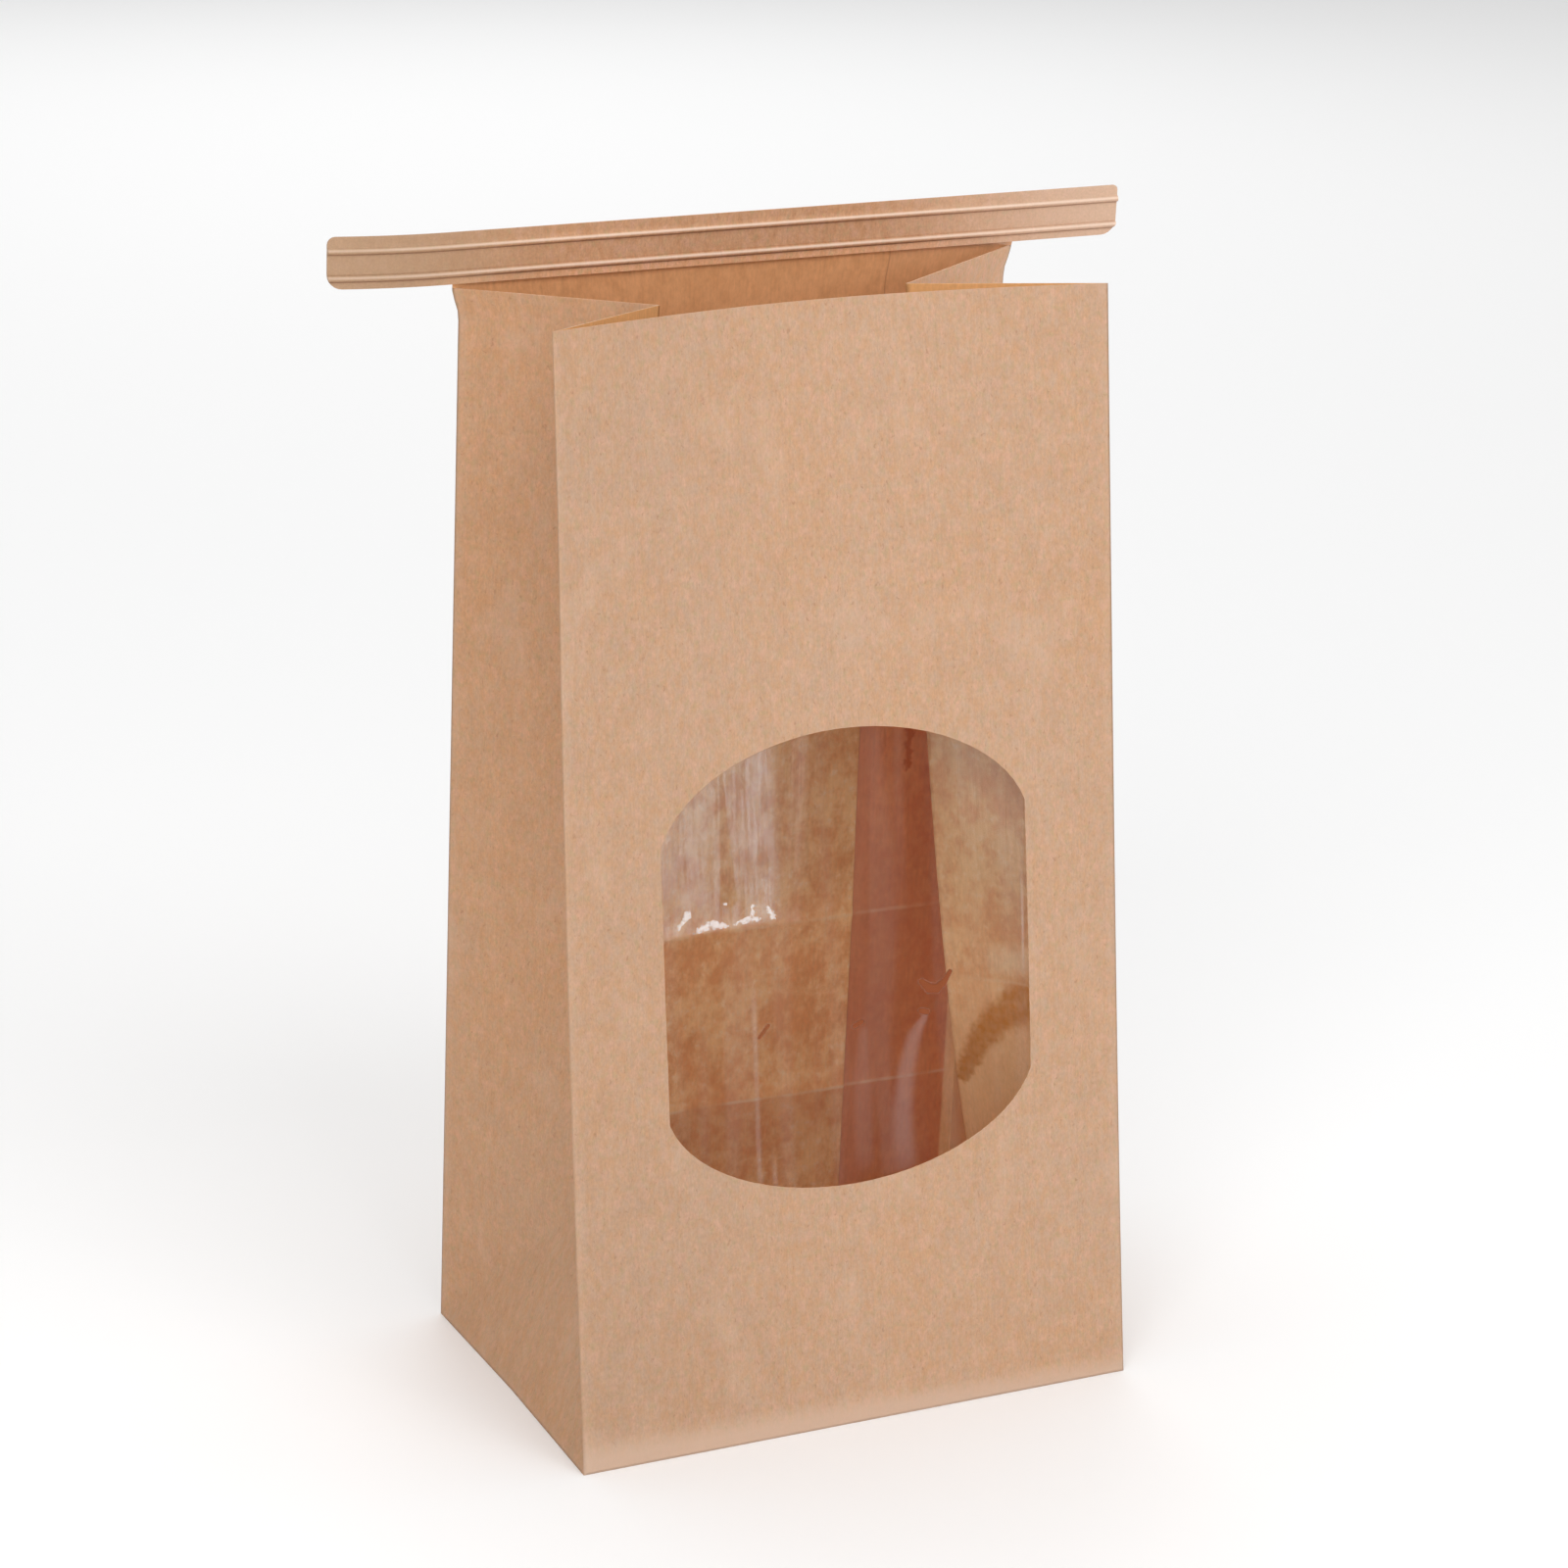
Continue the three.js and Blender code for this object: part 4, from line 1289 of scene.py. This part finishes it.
FLOOR_REACH = 6000.0  # millimetres
FLOOR_WHITE = (0.95, 0.95, 0.95, 1.0)
SKY_STRENGTH = 0.45
LIGHT_TARGET = Vector((0, 0, 0.12))
LIGHTS = (  # name, place and width in metres, and power
    ("key", (0.5, -0.95, 0.7), 0.6, 1.23),
    ("front", (-0.45, -1.3, 0.6), 0.7, 1.76),
    ("left", (-1.0, -1.0, 0.35), 0.6, 0.77),
    ("left_high", (-0.7, -0.8, 0.85), 0.5, 2.95),
    ("high", (0.1, -0.8, 1.1), 0.6, 3.15),
    ("low_right", (0.75, -1.2, 0.25), 0.7, 1.46),
    ("top", (0.0, 0.8, 3.0), 4.0, 40),
    ("back", (0.5, 1.5, 0.9), 1.2, 3.52),
)


def make_floor():
    bm = bmesh.new()
    bmesh.ops.create_grid(bm, x_segments=1, y_segments=1, size=FLOOR_REACH)
    nodes = Nodes("pale_floor")
    nodes.finish(FLOOR_WHITE, 0.9, 0.1)
    floor = finished(bm, "floor", [nodes.material])


def make_light(name, place, size, power):
    light = bpy.data.lights.new(name, "AREA")
    light.shape = "DISK"
    light.size = size
    light.energy = power
    lamp = bpy.data.objects.new(name, light)
    lamp.location = place
    aim = LIGHT_TARGET - Vector(place)
    lamp.rotation_euler = aim.to_track_quat("-Z", "Y").to_euler()
    bpy.context.scene.collection.objects.link(lamp)


def make_lights():
    world = bpy.data.worlds.new("studio")
    world.use_nodes = True
    sky = world.node_tree.nodes["Background"]
    sky.inputs["Color"].default_value = (1.0, 1.0, 1.0, 1.0)
    sky.inputs["Strength"].default_value = SKY_STRENGTH
    bpy.context.scene.world = world
    for row in LIGHTS:
        make_light(*row)
    bpy.context.scene.view_settings.view_transform = "Standard"


# The photo's camera: angles in degrees, distances in metres.
CAMERA_YAW = 25.72
CAMERA_PITCH = 18.40
CAMERA_ROLL = 1.27
CAMERA_DISTANCE = 0.913
CAMERA_TARGET = Vector((-0.0013, 0, 0.1229))
FOCAL_PIXELS = 4642
PHOTO_PIXELS = 1600
SENSOR = 36.0


def make_camera():
    yaw, pitch, roll = (math.radians(a) for a in (CAMERA_YAW, CAMERA_PITCH, CAMERA_ROLL))
    flat_ahead = Vector((math.sin(yaw), math.cos(yaw), 0))
    ahead = flat_ahead * math.cos(pitch) - Vector((0, 0, math.sin(pitch)))
    level = Vector((math.cos(yaw), -math.sin(yaw), 0))
    upright = level.cross(ahead)
    right = level * math.cos(roll) + upright * math.sin(roll)
    up = upright * math.cos(roll) - level * math.sin(roll)
    turn = Matrix((right, up, -ahead)).transposed()
    data = bpy.data.cameras.new("camera")
    data.sensor_width = SENSOR
    data.lens = FOCAL_PIXELS / PHOTO_PIXELS * SENSOR
    data.clip_start = 0.05
    camera = bpy.data.objects.new("camera", data)
    camera.matrix_world = Matrix.LocRotScale(
        CAMERA_TARGET - ahead * CAMERA_DISTANCE, turn.to_quaternion(), None
    )
    bpy.context.scene.collection.objects.link(camera)
    bpy.context.scene.camera = camera


make_camera()
make_lights()
make_floor()
make_bag()
make_film()
make_tie()

bpy.context.view_layer.update()
